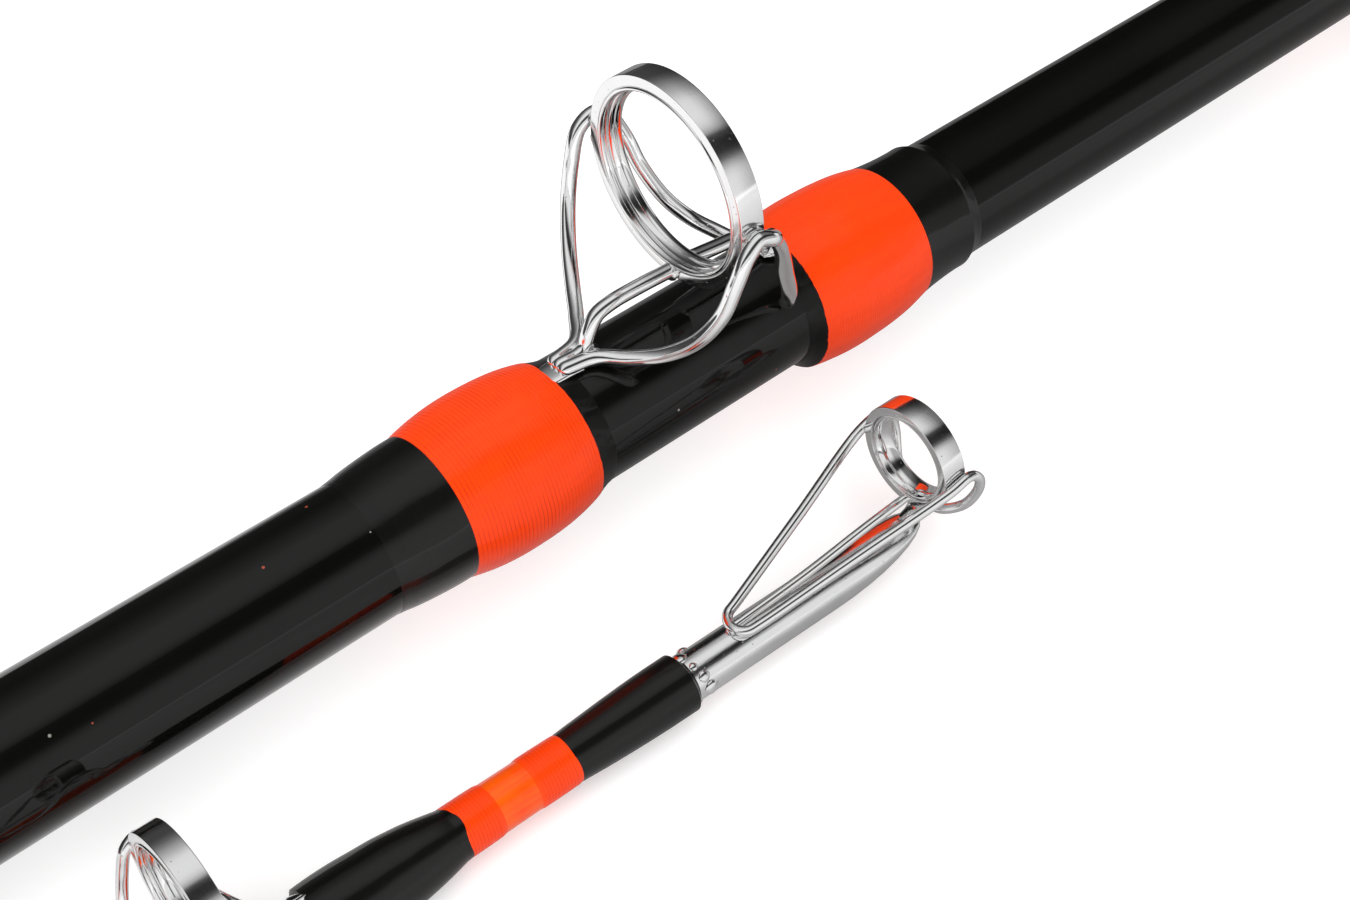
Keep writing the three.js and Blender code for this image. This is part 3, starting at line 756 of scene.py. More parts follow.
# ---- Finishes ---------------------------------------------------------------------------------
class NodeSheet(Sheet):
    """Builds one material's nodes, with patterns measured in millimetres."""

    def __init__(self, name: str) -> None:
        """Starts an empty material of that name."""
        self.material = bpy.data.materials.new(name)
        self.material.use_nodes = True
        super().__init__(self.material.node_tree)

    def place(self) -> Socket:
        """Gives the object's coordinates in millimetres."""
        coords = self.node("ShaderNodeTexCoord").outputs["Object"]
        return self.node("ShaderNodeVectorMath", {0: coords, "Scale": 1 / MM},
                         operation="SCALE").outputs[0]

    def local(self) -> Socket:
        """Gives the piece's own coordinates on its line, in millimetres."""
        return self.node("ShaderNodeAttribute", attribute_name="local").outputs["Vector"]

    def stretch(self, vector: Socket, scale: Point) -> Socket:
        """Scales a pattern's coordinates along each axis."""
        return self.node("ShaderNodeVectorMath", {0: vector, 1: tuple(scale)},
                         operation="MULTIPLY").outputs[0]

    def around(self, vector: Socket) -> Socket:
        """Gives (along, angle in turns, 0) for a piece that is turned about its line.

        Args:
            vector: The place on the piece.

        Returns:
            The result.
        """
        parts = self.node("ShaderNodeSeparateXYZ", {0: vector})
        angle = self.math("ARCTAN2", parts.outputs["Y"], parts.outputs["Z"])
        return self.node("ShaderNodeCombineXYZ", {
            "X": parts.outputs["X"], "Y": self.math("DIVIDE", angle, TAU),
        }).outputs[0]

    def noise(self, vector: Socket, size: float, detail: float = 2.0,
              roughness: float = 0.5) -> Socket:
        """Adds noise whose blots are about this many millimetres across."""
        return self.node("ShaderNodeTexNoise", {
            "Vector": vector, "Scale": 1 / size, "Detail": detail, "Roughness": roughness,
        }).outputs[0]

    def span(self, value: Socket, low: float, high: float,
             out_low: float = 0.0, out_high: float = 1.0) -> Socket:
        """Maps a range of values onto another, without going past its ends."""
        return self.node("ShaderNodeMapRange", {
            "Value": value, "From Min": low, "From Max": high, "To Min": out_low, "To Max": out_high,
        }).outputs[0]

    def mix(self, share: object, first: object, second: object) -> Socket:
        """Mixes two colours."""
        node = self.node("ShaderNodeMix", {0: share, 6: first, 7: second}, data_type="RGBA")
        return node.outputs[2]

    def bump(self, height: Socket, depth: float,
             normal: Socket | None = None) -> Socket:
        """Raises the surface by a height that is 1 at this many millimetres.

        Args:
            height: The pattern, from 0 to 1.
            depth: How far a height of 1 rises, in millimetres.
            normal: The normal to start from, where it has one.

        Returns:
            The result.
        """
        links: dict[str | int, object] = {"Height": height, "Distance": depth * MM}
        if normal is not None:
            links["Normal"] = normal
        return self.node("ShaderNodeBump", links).outputs[0]

    def coat(self, **inputs: object) -> Material:
        """Ends the material with its surface shader.

        Args:
            **inputs: The shader's inputs, with underscores for spaces.

        Returns:
            The material.
        """
        links = {name.replace("_", " "): value for name, value in inputs.items()}
        return self.surface(self.node("ShaderNodeBsdfPrincipled", links))

    def surface(self, shader: bpy.types.Node) -> Material:
        """Ends the material with this shader node, and gives the material."""
        self.node("ShaderNodeOutputMaterial", {"Surface": shader.outputs[0]})
        return self.material


Colour = tuple[float, float, float, float]
BLACK: Colour = (0.0018, 0.0018, 0.0015, 1.0)


@dataclass(frozen=True)
class GlossBlackGraphite:
    """Clear-coated black graphite with the faint ridges of its tape and a little dust."""

    name: str = "gloss_black_graphite"
    tape_pitch: float = 1.6

    def build(self) -> Material:
        """Builds the material.

        Returns:
            The material.
        """
        sheet = NodeSheet(self.name)
        place = sheet.place()
        along = sheet.part(place, "X")
        twist = sheet.part(sheet.around(place), "Y")
        helix = sheet.math("ADD", sheet.math("DIVIDE", along, self.tape_pitch), twist)
        ridge = sheet.math("SINE", sheet.math("MULTIPLY", helix, TAU))
        slow = sheet.noise(sheet.stretch(place, (0.25, 1, 1)), 2.4, 2.0)
        height = sheet.math("ADD", sheet.math("MULTIPLY", ridge, 0.12), slow)
        specks = sheet.node("ShaderNodeTexVoronoi", {"Vector": place, "Scale": 0.55})
        dust = sheet.math("LESS_THAN", specks.outputs["Distance"], 0.045)
        picked = sheet.node("ShaderNodeSeparateColor", {0: specks.outputs["Color"]})
        chosen = sheet.math("GREATER_THAN", picked.outputs[0], 0.72)
        dust = sheet.math("MULTIPLY", dust, chosen)
        dust_colour = sheet.mix(sheet.math("GREATER_THAN", picked.outputs[1], 0.6),
                                (0.30, 0.06, 0.03, 1), (0.25, 0.24, 0.22, 1))
        tone = sheet.mix(sheet.noise(place, 6.0, 3.0), BLACK, (0.004, 0.004, 0.0036, 1))
        colour = sheet.mix(dust, tone, dust_colour)
        rough = sheet.span(sheet.noise(place, 1.3, 3.0), 0.3, 0.75, 0.03, 0.08)
        return sheet.coat(Base_Color=colour, Roughness=rough, IOR=1.5, Specular_IOR_Level=0.3,
                          Normal=sheet.bump(height, 0.006))


@dataclass(frozen=True)
class ThreadUnderEpoxy:
    """Close turns of thread under clear epoxy, with painted shade in the grooves where turns meet, and
    bare epoxy past the thread's two ends.
    """

    name: str
    thread: Colour
    seam_shade_and_tone: Colour
    pitch: float
    start: float
    end: float
    under: Colour = BLACK
    relief: float = 0.012
    wave: float = 0.03
    seam_shade_strength: float = 0.7
    coat: float = 0.8

    def build(self) -> Material:
        """Builds the material.

        Returns:
            The material.
        """
        sheet = NodeSheet(self.name)
        local = sheet.local()
        along = sheet.part(local, "X")
        wander = sheet.noise(sheet.stretch(local, (0.35, 1, 1)), 2.6, 2.0)
        drift = sheet.math("MULTIPLY", sheet.math("SUBTRACT", wander, 0.5), 0.14)
        strands = sheet.math("DIVIDE", sheet.math("ADD", along, drift), self.pitch)
        crown = sheet.math("ABSOLUTE", sheet.math("SINE", sheet.math("MULTIPLY", strands, math.pi)))
        # Painted shade: where two turns meet, the colour darkens to the darker copy of the thread colour,
        # standing in for the shade in the groove between them; noise sets how strong it is.
        seam_shade = sheet.span(crown, 0.0, 0.42, 1.0, 0.0)
        seam_shade_patch = sheet.span(sheet.noise(local, 1.9, 3.0, 0.6), 0.42, 0.72)
        strength = sheet.math("ADD", sheet.math("MULTIPLY", seam_shade_patch, self.seam_shade_strength), 0.3 * self.seam_shade_strength)
        seam_shade = sheet.math("MULTIPLY", seam_shade, strength)
        fibre = sheet.noise(sheet.stretch(sheet.around(local), (9, 2600, 1)), 60.0, 3.0, 0.7)
        tone = sheet.mix(sheet.math("MULTIPLY", sheet.span(fibre, 0.35, 0.8), 0.25), self.thread, self.seam_shade_and_tone)
        wound = sheet.mix(seam_shade, tone, self.seam_shade_and_tone)
        ragged = sheet.math("MULTIPLY", sheet.math("SUBTRACT", sheet.noise(local, 0.5), 0.5), 0.12)
        edge = sheet.math("ADD", along, ragged)
        inside = sheet.math("MULTIPLY", sheet.math("GREATER_THAN", edge, self.start),
                            sheet.math("LESS_THAN", edge, self.end))
        colour = sheet.mix(inside, self.under, wound)
        relief = sheet.bump(sheet.math("MULTIPLY", crown, inside), self.relief)
        epoxy = sheet.noise(sheet.stretch(local, (0.6, 1, 1)), 1.7, 2.0, 0.4)
        ripple = sheet.math("MULTIPLY", crown, 0.05)
        epoxy = sheet.math("ADD", epoxy, ripple)
        return sheet.coat(Base_Color=colour, Roughness=0.55, IOR=1.5, Specular_IOR_Level=0.15,
                          Normal=relief, Coat_Weight=self.coat, Coat_Roughness=0.05, Coat_IOR=1.5,
                          Coat_Normal=sheet.bump(epoxy, self.wave))


@dataclass(frozen=True)
class PolishedSteel:
    """Bright steel with drawing lines or turning lines, faint smears and tiny pits."""

    name: str
    base: float = 0.74
    rough: float = 0.07
    smear: float = 0.12
    grain: tuple[float, float, float] = (1.0, 1.0, 1.0)
    grain_depth: float = 0.0015

    def build(self) -> Material:
        """Builds the material.

        Returns:
            The material.
        """
        sheet = NodeSheet(self.name)
        place = sheet.place()
        blots = sheet.noise(place, 1.4, 3.0, 0.6)
        lines = sheet.noise(sheet.stretch(place, self.grain), 0.16, 3.0, 0.6)
        pits = sheet.node("ShaderNodeTexVoronoi", {"Vector": place, "Scale": 1.9})
        pit = sheet.span(pits.outputs["Distance"], 0.03, 0.10, 1.0, 0.0)
        low, high = self.base * 0.93, min(1.0, self.base * 1.06)
        tone = sheet.mix(blots, (low, low, low * 1.01, 1), (high, high, high * 0.995, 1))
        tone = sheet.mix(sheet.math("MULTIPLY", pit, 0.35), tone, (0.16, 0.15, 0.14, 1))
        rough = sheet.span(blots, 0.35, 0.75, self.rough, self.rough + self.smear)
        relief = sheet.bump(lines, self.grain_depth)
        relief = sheet.bump(sheet.math("MULTIPLY", pit, -1.0), 0.008, relief)
        return sheet.coat(Base_Color=tone, Metallic=1.0, Roughness=rough, Normal=relief)


@dataclass(frozen=True)
class OrangeGlass:
    """Solid fibreglass, coloured through and clear-coated, with fibres that run along it."""

    name: str = "orange_glass"
    light: Colour = (1.0, 0.14, 0.0, 1.0)
    deep: Colour = (0.95, 0.05, 0.0, 1.0)

    def build(self) -> Material:
        """Builds the material.

        Returns:
            The material.
        """
        sheet = NodeSheet(self.name)
        local = sheet.local()
        fibres = sheet.noise(sheet.stretch(local, (0.06, 1, 1)), 0.22, 3.0, 0.6)
        cloud = sheet.noise(local, 2.2, 2.0)
        share = sheet.math("ADD", sheet.math("MULTIPLY", fibres, 0.45), sheet.math("MULTIPLY", cloud, 0.6))
        colour = sheet.mix(sheet.span(share, 0.32, 0.72), self.light, self.deep)
        return sheet.coat(Base_Color=colour, Roughness=0.35, IOR=1.5, Subsurface_Weight=0.15,
                          Subsurface_Radius=(0.8, 0.25, 0.05), Subsurface_Scale=0.0008,
                          Coat_Weight=0.5, Coat_Roughness=0.05, Specular_IOR_Level=0.2,
                          Coat_Normal=sheet.bump(cloud, 0.02),
                          Normal=sheet.bump(fibres, 0.01))


@dataclass(frozen=True)
class GrainedSoft:
    """Soft dull plastic: closed-cell foam or moulded rubber, by the size of its grain."""

    name: str
    dark: Colour
    pale: Colour
    cell: float
    depth: float
    rough: float

    def build(self) -> Material:
        """Builds the material.

        Returns:
            The material.
        """
        sheet = NodeSheet(self.name)
        place = sheet.place()
        cells = sheet.node("ShaderNodeTexVoronoi", {"Vector": place, "Scale": 1 / self.cell})
        wall = cells.outputs["Distance"]
        fine = sheet.noise(place, self.cell * 0.5, 3.0, 0.7)
        wear = sheet.span(sheet.noise(place, 11.0, 4.0, 0.65), 0.5, 0.78)
        share = sheet.math("ADD", sheet.math("MULTIPLY", fine, 0.5), sheet.math("MULTIPLY", wear, 0.4))
        colour = sheet.mix(share, self.dark, self.pale)
        rough = sheet.span(fine, 0.3, 0.7, self.rough - 0.08, self.rough + 0.08)
        height = sheet.math("ADD", wall, sheet.math("MULTIPLY", fine, 0.5))
        return sheet.coat(Base_Color=colour, Roughness=rough, Specular_IOR_Level=0.35,
                          Normal=sheet.bump(height, self.depth))


@dataclass(frozen=True)
class TurnedAlloy:
    """Anodised aluminium that keeps the fine rings of the lathe, a little worn."""

    name: str
    tone: Colour
    rough: float = 0.28

    def build(self) -> Material:
        """Builds the material.

        Returns:
            The material.
        """
        sheet = NodeSheet(self.name)
        place = sheet.place()
        rings = sheet.noise(sheet.stretch(place, (14, 0.25, 0.25)), 1.0, 3.0, 0.6)
        blots = sheet.noise(place, 3.0, 4.0, 0.6)
        worn = tuple(min(1.0, value * 1.25) for value in self.tone[:3]) + (1.0,)
        colour = sheet.mix(sheet.span(blots, 0.4, 0.8), self.tone, worn)
        rough = sheet.span(rings, 0.3, 0.7, self.rough - 0.07, self.rough + 0.1)
        return sheet.coat(Base_Color=colour, Metallic=1.0, Roughness=rough,
                          Normal=sheet.bump(rings, 0.004))


@dataclass(frozen=True)
class SatinNylon:
    """Black glass-filled nylon with a fine moulded skin."""

    name: str = "satin_nylon"

    def build(self) -> Material:
        """Builds the material.

        Returns:
            The material.
        """
        sheet = NodeSheet(self.name)
        place = sheet.place()
        skin = sheet.noise(place, 0.35, 4.0, 0.7)
        swirl = sheet.noise(sheet.stretch(place, (0.2, 1, 1)), 4.0, 3.0)
        colour = sheet.mix(swirl, (0.010, 0.010, 0.011, 1), (0.022, 0.022, 0.024, 1))
        rough = sheet.span(skin, 0.3, 0.7, 0.26, 0.42)
        return sheet.coat(Base_Color=colour, Roughness=rough, Normal=sheet.bump(skin, 0.012))


# Thread colours and their darker copies; each darker copy is painted shade in the grooves between turns,
# and also the dark end of the fibres' random tone.
ORANGE_THREAD: Colour = (1.0, 0.056, 0.0, 1.0)
ORANGE_SEAM_SHADE_AND_TONE: Colour = (0.60, 0.018, 0.0, 1.0)
BLACK_THREAD: Colour = (0.0025, 0.0025, 0.002, 1.0)
BLACK_SEAM_SHADE_AND_TONE: Colour = (0.0008, 0.0008, 0.0008, 1.0)


@dataclass
class Finishes:
    """The rod's finishes, each built once."""

    graphite: Material = field(default_factory=GlossBlackGraphite().build)
    wire: Material = field(default_factory=PolishedSteel(
        "polished_wire", base=0.93, rough=0.05, smear=0.1).build)
    band: Material = field(default_factory=PolishedSteel(
        "satin_band", base=0.9, rough=0.1, smear=0.06, grain=(2, 0.5, 0.5), grain_depth=0.001).build)
    insert: Material = field(default_factory=PolishedSteel(
        "mirror_insert", base=0.93, rough=0.05, smear=0.04, grain=(1, 1, 1), grain_depth=0.0002).build)
    tube: Material = field(default_factory=PolishedSteel(
        "plated_tube", base=0.9, rough=0.07, smear=0.12, grain=(0.15, 2, 2), grain_depth=0.004).build)
    glass: Material = field(default_factory=OrangeGlass().build)
    foam: Material = field(default_factory=GrainedSoft(
        "grip_foam", (0.022, 0.022, 0.023, 1), (0.06, 0.06, 0.062, 1), 0.55, 0.07, 0.82).build)
    rubber: Material = field(default_factory=GrainedSoft(
        "butt_rubber", (0.014, 0.014, 0.014, 1), (0.035, 0.035, 0.034, 1), 0.3, 0.03, 0.62).build)
    arbor: Material = field(default_factory=GrainedSoft(
        "arbor_board", (0.50, 0.43, 0.31, 1), (0.68, 0.61, 0.47, 1), 0.9, 0.05, 0.8).build)
    alloy: Material = field(default_factory=TurnedAlloy(
        "anodised_alloy", (0.56, 0.57, 0.59, 1.0)).build)
    dark_alloy: Material = field(default_factory=TurnedAlloy(
        "grey_alloy", (0.34, 0.35, 0.36, 1.0), 0.24).build)
    nylon: Material = field(default_factory=SatinNylon().build)


@dataclass
class Workshop:
    """What every sub-assembly is built with."""

    finishes: Finishes
    trees: Trees
    handle: Line
    tip: Line


def ring_band(name: str, x: float, half: float, inner: float, outer: float, edge: float, line: Line,
              sides: int, height: float) -> Piece:
    """Turns a flat ring band with rounded edges.

    Args:
        name: The piece's name.
        x: Its middle along the line.
        half: Half its width.
        inner: Its bore's radius.
        outer: Its outside radius.
        edge: How far its edges' rounding reaches.
        line: The section's axis.
        sides: How many sides it gets.
        height: How far above the line its axis lies.

    Returns:
        The band.
    """
    corners = ((-half, inner), (-half, outer), (half, outer), (half, inner))
    profile = eased([(x + ahead, radius, edge) for ahead, radius in corners], closed=True)
    return turned(name, profile, line, sides, height)


def blank_radius(x: float) -> float:
    """Gives the butt blank's radius, in millimetres, at a place along it."""
    return BUTT_RADIUS - BUTT_TAPER * (x - BUTT_START)


# ---- Thread wraps -----------------------------------------------------------------------------
@dataclass
class ThreadWrap:
    """A wrap of thread under epoxy: a low barrel with a thin clear collar past either end."""

    node: str
    line: Line
    start: float
    length: float
    radius_at: Callable[[float], float]
    rise: float
    orange: bool = False
    level: float | None = None
    rear_collar: float = 0.0
    front_collar: float = 0.0
    rear_edge: float | None = None
    front_edge: float | None = None
    sides: int = 112
    pitch: float = 0.16
    ridge: float = 0.0012
    wave: float = 0.05
    collar_rise: float = 0.015
    collar_curve: float = 1.5
    # How strong the painted shade in the grooves between turns is.
    seam_shade_strength: float = 0.7
    under: Colour = BLACK
    seed: int = 1

    def outside(self) -> Profile:
        """Gives the outside of the wrap, from its rear end to its front end.

        Returns:
            Pairs of place along the line and radius.
        """
        thin = min(self.rise, 0.55) * 0.8

        def base(x: float) -> float:
            """Gives the radius under the wrap."""
            return self.radius_at(x) if self.level is None else self.level

        end = self.start + self.length
        rear = self.rear_edge if self.rear_edge is not None else base(self.start) + thin
        front = self.front_edge if self.front_edge is not None else base(end) + thin
        crown = base(self.start + self.length / 2) + self.rise
        profile: Profile = []

        def collar(edge: float, place: Callable[[float], float]) -> Profile:
            """Gives a collar of epoxy that thins out from the wrap.

            Args:
                edge: The radius at the wrap's edge.
                place: Where a share of the collar lies along the line.

            Returns:
                The collar's rows, from its thin end.
            """
            rows: Profile = []
            for share in COLLAR_SHARES:
                low = self.radius_at(place(share)) + self.collar_rise * min(1.0, share * 16)
                rows.append((place(share), low + (edge - low) * share ** self.collar_curve))
            return rows

        if self.rear_collar > 0:
            left = self.start - self.rear_collar
            profile += collar(rear, lambda share: left + self.rear_collar * share)
        rows = max(24, round(self.length / self.pitch * 4))
        for row in range(rows + 1):
            share = row / rows
            x = self.start + self.length * share
            arch = 1 - abs(2 * share - 1) ** 2.3
            edge = rear + (front - rear) * share
            profile.append((x, edge + (crown - (rear + front) / 2) * arch))
        if self.front_collar > 0:
            profile += collar(front, lambda share: end + self.front_collar * (1 - share))[::-1]
        return profile

    def build(self, shop: Workshop, slot: Slot) -> None:
        """Builds the wrap and its finish.

        Args:
            shop: The trees and finishes.
            slot: The record's slot for it.
        """
        outside = self.outside()
        left, right = outside[0][0], outside[-1][0]
        sunk = 0.03
        profile = outside + [(right, self.radius_at(right) - sunk), (left, self.radius_at(left) - sunk)]
        piece = turned(f"{self.node}_wound", profile, self.line, self.sides, sharp_angle=50)
        skin = piece.data.attributes.new("skin", "FLOAT", "POINT")
        rows = len(profile)
        ends = {0, len(outside) - 1, rows - 1, rows - 2}
        values = []
        for row in range(rows):
            values.extend([0.0 if row in ends else 1.0] * self.sides)
        skin.data.foreach_set("value", values)
        thread_start, thread_end = self.start - left, self.start + self.length - left
        colours = (ORANGE_THREAD, ORANGE_SEAM_SHADE_AND_TONE) if self.orange else (BLACK_THREAD, BLACK_SEAM_SHADE_AND_TONE)
        begin = thread_start if self.rear_collar > 0 else thread_start - 9
        finish = thread_end if self.front_collar > 0 else thread_end + 9
        material = ThreadUnderEpoxy(
            f"{self.node}_thread", colours[0], colours[1], self.pitch, begin, finish,
            under=self.under, relief=0.014 if self.orange else 0.004, seam_shade_strength=self.seam_shade_strength,
            coat=0.3 if self.orange else 0.55).build()
        run_tree(piece, shop.trees.winding, material, pitch=self.pitch, ridge=self.ridge,
                 wave=self.wave, wave_size=2.8, start=thread_start, end=thread_end, seed=self.seed)
        adopt(piece, self.node, slot)


# ---- Guides -----------------------------------------------------------------------------------
@dataclass
class LineGuide:
    """A double-foot guide: a soldered wire frame, a ring band and the insert pressed into it."""

    name: str
    line: Line
    x: float
    radius_at: Callable[[float], float]
    ring_radius: float
    ring_width: float
    ring_wall: float
    insert_wall: float
    clearance: float
    wire_radius: float
    rear_foot: float
    front_foot: float
    wrap_gap: float
    front_wrap_x: float
    wrap_length: float
    wrap_rise: float
    trim_length: float = 0.0
    trim_rise: float = 0.32
    orange: bool = False
    seed: int = 1

    @property
    def past(self) -> float:
        """How far ahead of the ring, in ring radii, a wire passes its front face."""
        return (self.ring_width / 2 + 0.08 + self.wire_radius) / self.ring_radius + 0.03

    @property
    def centre(self) -> float:
        """The ring's height above the line."""
        return self.radius_at(self.x) + self.clearance + self.ring_radius

    @property
    def low(self) -> float:
        """The height of the wires' middles where they run along the blank."""
        return self.radius_at(self.x) + self.wire_radius + 0.1

    def at(self, ahead: float, across: float, height: float) -> Point:
        """Gives a point ahead of the ring and across, both in ring radii."""
        return (self.x + ahead * self.ring_radius, across * self.ring_radius, height)

    def side_wire(self, side: float) -> list[Point]:
        """Gives the rising part of a side wire, from the rear foot to the ring.

        Args:
            side: 1 for the left-hand wire and -1 for the right-hand one.

        Returns:
            The wire's points.
        """
        big, thin, low = self.ring_radius, self.wire_radius, self.low
        lift = self.centre - low
        edge = 1.01 * (big + thin + 0.06) / big
        rows = ((-1.12, 0.14, 0.0), (-0.92, 0.38, 0.02), (-0.75, 0.63, 0.09), (-0.58, 0.87, 0.24),
                (-0.42, 1.04, 0.47), (-0.29, 1.1, 0.72), (-0.17, 1.115, 0.9))
        tall = 1.14 if side > 0 else 1.0
        return [
            (self.x - self.rear_foot, side * thin, low),
            *(self.at(ahead, side * across, low + up * lift * (1 + (tall - 1) * up))
              for ahead, across, up in rows),
            self.at(-0.02, side * edge, low + (self.centre - 0.05 * big - low) * tall),
            self.at(0.14, side * edge, low + (self.centre - 0.1 * big - low) * (tall - 0.02)),
        ]

    def hook(self) -> list[Point]:
        """Gives the right-hand wire's hook, from over the ring's front down to the blank.

        Returns:
            The points it runs through.
        """
        big, thin, centre = self.ring_radius, self.wire_radius, self.centre
        spur = self.radius_at(self.x) + 0.55 * thin
        turn = math.radians(51)
        return [
            self.at(self.past, -1.0, centre - 0.22 * big), self.at(0.34, -0.95, centre - 0.42 * big),
            self.at(0.48, -0.83, centre - 0.82 * big), self.at(0.64, -0.69, centre - 1.24 * big),
            (self.x + 0.74 * big, -math.sin(turn) * spur, math.cos(turn) * spur),
        ]

    def near_wire(self) -> list[Point]:
        """Gives the round part of the right-hand wire, up to its hook."""
        return self.side_wire(-1) + self.hook()[:1]

    def far_wire(self) -> list[Point]:
        """Gives the left-hand wire, which runs on past the ring to the front foot.

        Returns:
            The points it runs through.
        """
        big, thin, low, centre = self.ring_radius, self.wire_radius, self.low, self.centre
        lift = centre - low
        return self.side_wire(1) + [
            self.at(self.past, 0.99, centre - 0.2 * big), self.at(0.3, 0.88, centre - 0.5 * big),
            self.at(0.41, 0.7, centre - 0.82 * big), self.at(0.57, 0.55, low + 0.17 * lift),
            self.at(0.7, 0.37, low + 0.08 * lift), self.at(0.8, 0.18, low + 0.03 * lift),
            self.at(0.93, 0.08, low), (self.x + self.front_wrap_x + 0.25, thin, low - 0.1),
        ]

    def middle_wires(self) -> list[list[Point]]:
        """Gives the centre wire, in the two parts that end against the ring's faces.

        Returns:
            Each wire's points.
        """
        big, low = self.ring_radius, self.low
        weld = self.centre - 0.94 * big
        step = weld - low
        face = self.ring_width / 2 / big
        rear = [
            (self.x - self.rear_foot, 0, low), self.at(-1.15, 0, low + 0.03 * step),
            self.at(-1.06, 0, low + 0.55 * step), self.at(-0.97, 0, low + 0.93 * step),
            self.at(-0.8, 0, weld + 0.02 * big), self.at(-0.5, 0, weld + 0.02 * big),
            self.at(-face, 0, weld),
        ]
        front = [
            self.at(face, 0, weld), self.at(0.4, 0, weld - 0.04 * big), self.at(0.6, 0, weld - 0.07 * big),
            self.at(0.83, 0, low + 0.45 * step), self.at(0.98, 0, low),
            (self.x + self.front_wrap_x + 0.25, 0, low - 0.1),
        ]
        return [rear, front]

    def web(self) -> Piece:
        """Builds the flat web of solder where the three wires part behind the ring.

        Returns:
            The new piece.
        """
        big, thin = self.ring_radius, self.wire_radius
        stations = []
        for ahead, width, depth in (
            (-self.rear_foot / big, 1.9, 0.75), (-1.28, 1.9, 0.8), (-1.16, 2.1, 0.75), (-1.08, 2.5, 0.6),
            (-1.03, 2.7, 0.45), (-1.0, 1.9, 0.2),
        ):
            stations.append(Station(self.at(ahead, 0, self.low - 0.25 * thin), (0, 0, 1),
                                    thin * width, thin * depth))
        return lofted(f"{self.name}_web", stations, self.line, 28, 2.0)

    def foot(self, name: str, start: float, end: float) -> Piece:
        """Builds a flat foot, thick at the wires and thinned to a rounded toe.

        Args:
            name: The piece's name.
            start: Where the toe is.
            end: Where the foot joins the wires.

        Returns:
            The foot.
        """
        bottom = self.radius_at(self.x) + 0.06
        stations = []
        for share, width, depth in (
            (0.0, 0.30, 0.06), (0.04, 0.48, 0.12), (0.2, 0.66, 0.15), (0.6, 0.76, 0.18),
            (0.86, 0.86, 0.22), (0.95, 0.98, 0.26), (1.0, 0.8, 0.2), (1.03, 0.5, 0.1),
        ):
            x = start + (end - start) * share
            stations.append(Station((x, 0, bottom + depth), (0, 0, 1), width, depth))
        return lofted(name, stations, self.line)

    def spur(self) -> Piece:
        """Builds the flattened, rounded blade in which the hooked wire ends on the blank.

        Returns:
            The new piece.
        """
        thin = self.wire_radius
        path = smooth_path(self.hook(), 0.2)
        last = len(path) - 1
        stations = []
        for index, point in enumerate(path):
            share = index / last
            flat = min(1.0, max(0.0, (share - 0.12) / 0.3))
            flat = flat * flat * (3 - 2 * flat)
            close = math.sqrt(max(0.0, 1 - max(0.0, (share - 0.9) / 0.105) ** 2))
            width = thin * (0.97 + 0.12 * flat) * close
            depth = thin * (0.97 - 0.42 * flat) * (0.35 + 0.65 * close)
            stations.append(Station(tuple(point), (-0.44, -0.58, 0.69), width, depth))
        return lofted(f"{self.name}_spur", stations, self.line, 24, 2.2)

    def weld(self, name: str, spot: Point, sizes: Point) -> Piece:
        """Builds a small smooth run of solder.

        Args:
            name: The piece's name.
            spot: Its middle.
            sizes: Its half sizes along, across and up.

        Returns:
            The solder.
        """
        x, y, z = spot
        stations = []
        for step in range(9):
            swing = math.pi * (step + 0.35) / 8.7
            girth = math.sin(swing)
            stations.append(Station((x - math.cos(swing) * sizes[0], y, z), (0, 0, 1),
                                    sizes[1] * girth, sizes[2] * girth))
        return lofted(name, stations, self.line, 16, 2.0)

    def build_frame(self, shop: Workshop) -> None:
        """Builds the soldered wire frame with its feet.

        Args:
            shop: The trees and finishes.
        """
        thin, big = self.wire_radius, self.ring_radius
        finish = shop.finishes.wire
        parts = []
        rear_middle, front_middle = self.middle_wires()
        for label, path in (("near", self.near_wire()), ("far", self.far_wire()),
                            ("middle", rear_middle), ("front", front_middle)):
            parts.append(drawn_wire(f"{self.name}_{label}", path, thin, self.line, shop.trees, finish))
        rear, front = self.x - self.rear_foot, self.x + self.front_foot
        parts.append(self.foot(f"{self.name}_rear", rear - 5.5, rear + 1.1))
        parts.append(self.foot(f"{self.name}_front", front + 5.5, self.x + self.front_wrap_x - 0.9))
        parts.append(self.spur())
        parts.append(self.web())
        under = self.centre - 0.96 * big
        half = self.ring_width / 2
        for way in (-1, 1):
            spot = (self.x + way * (half + 0.15 * thin), 0, under)
            parts.append(self.weld(f"{self.name}_w1", spot, (0.75 * thin, 1.3 * thin, 1.2 * thin)))
        for side in (-1, 1):
            spot = (self.x, side * (big + thin * 0.45), self.centre - 0.08 * big)
            parts.append(self.weld(f"{self.name}_w2", spot, (1.5 * thin, 0.7 * thin, 1.2 * thin)))
        piece = fuse(f"{self.name}_frame_wires", parts)
        adopt(piece, f"{self.name}_frame", Slot.WIRE, finish)

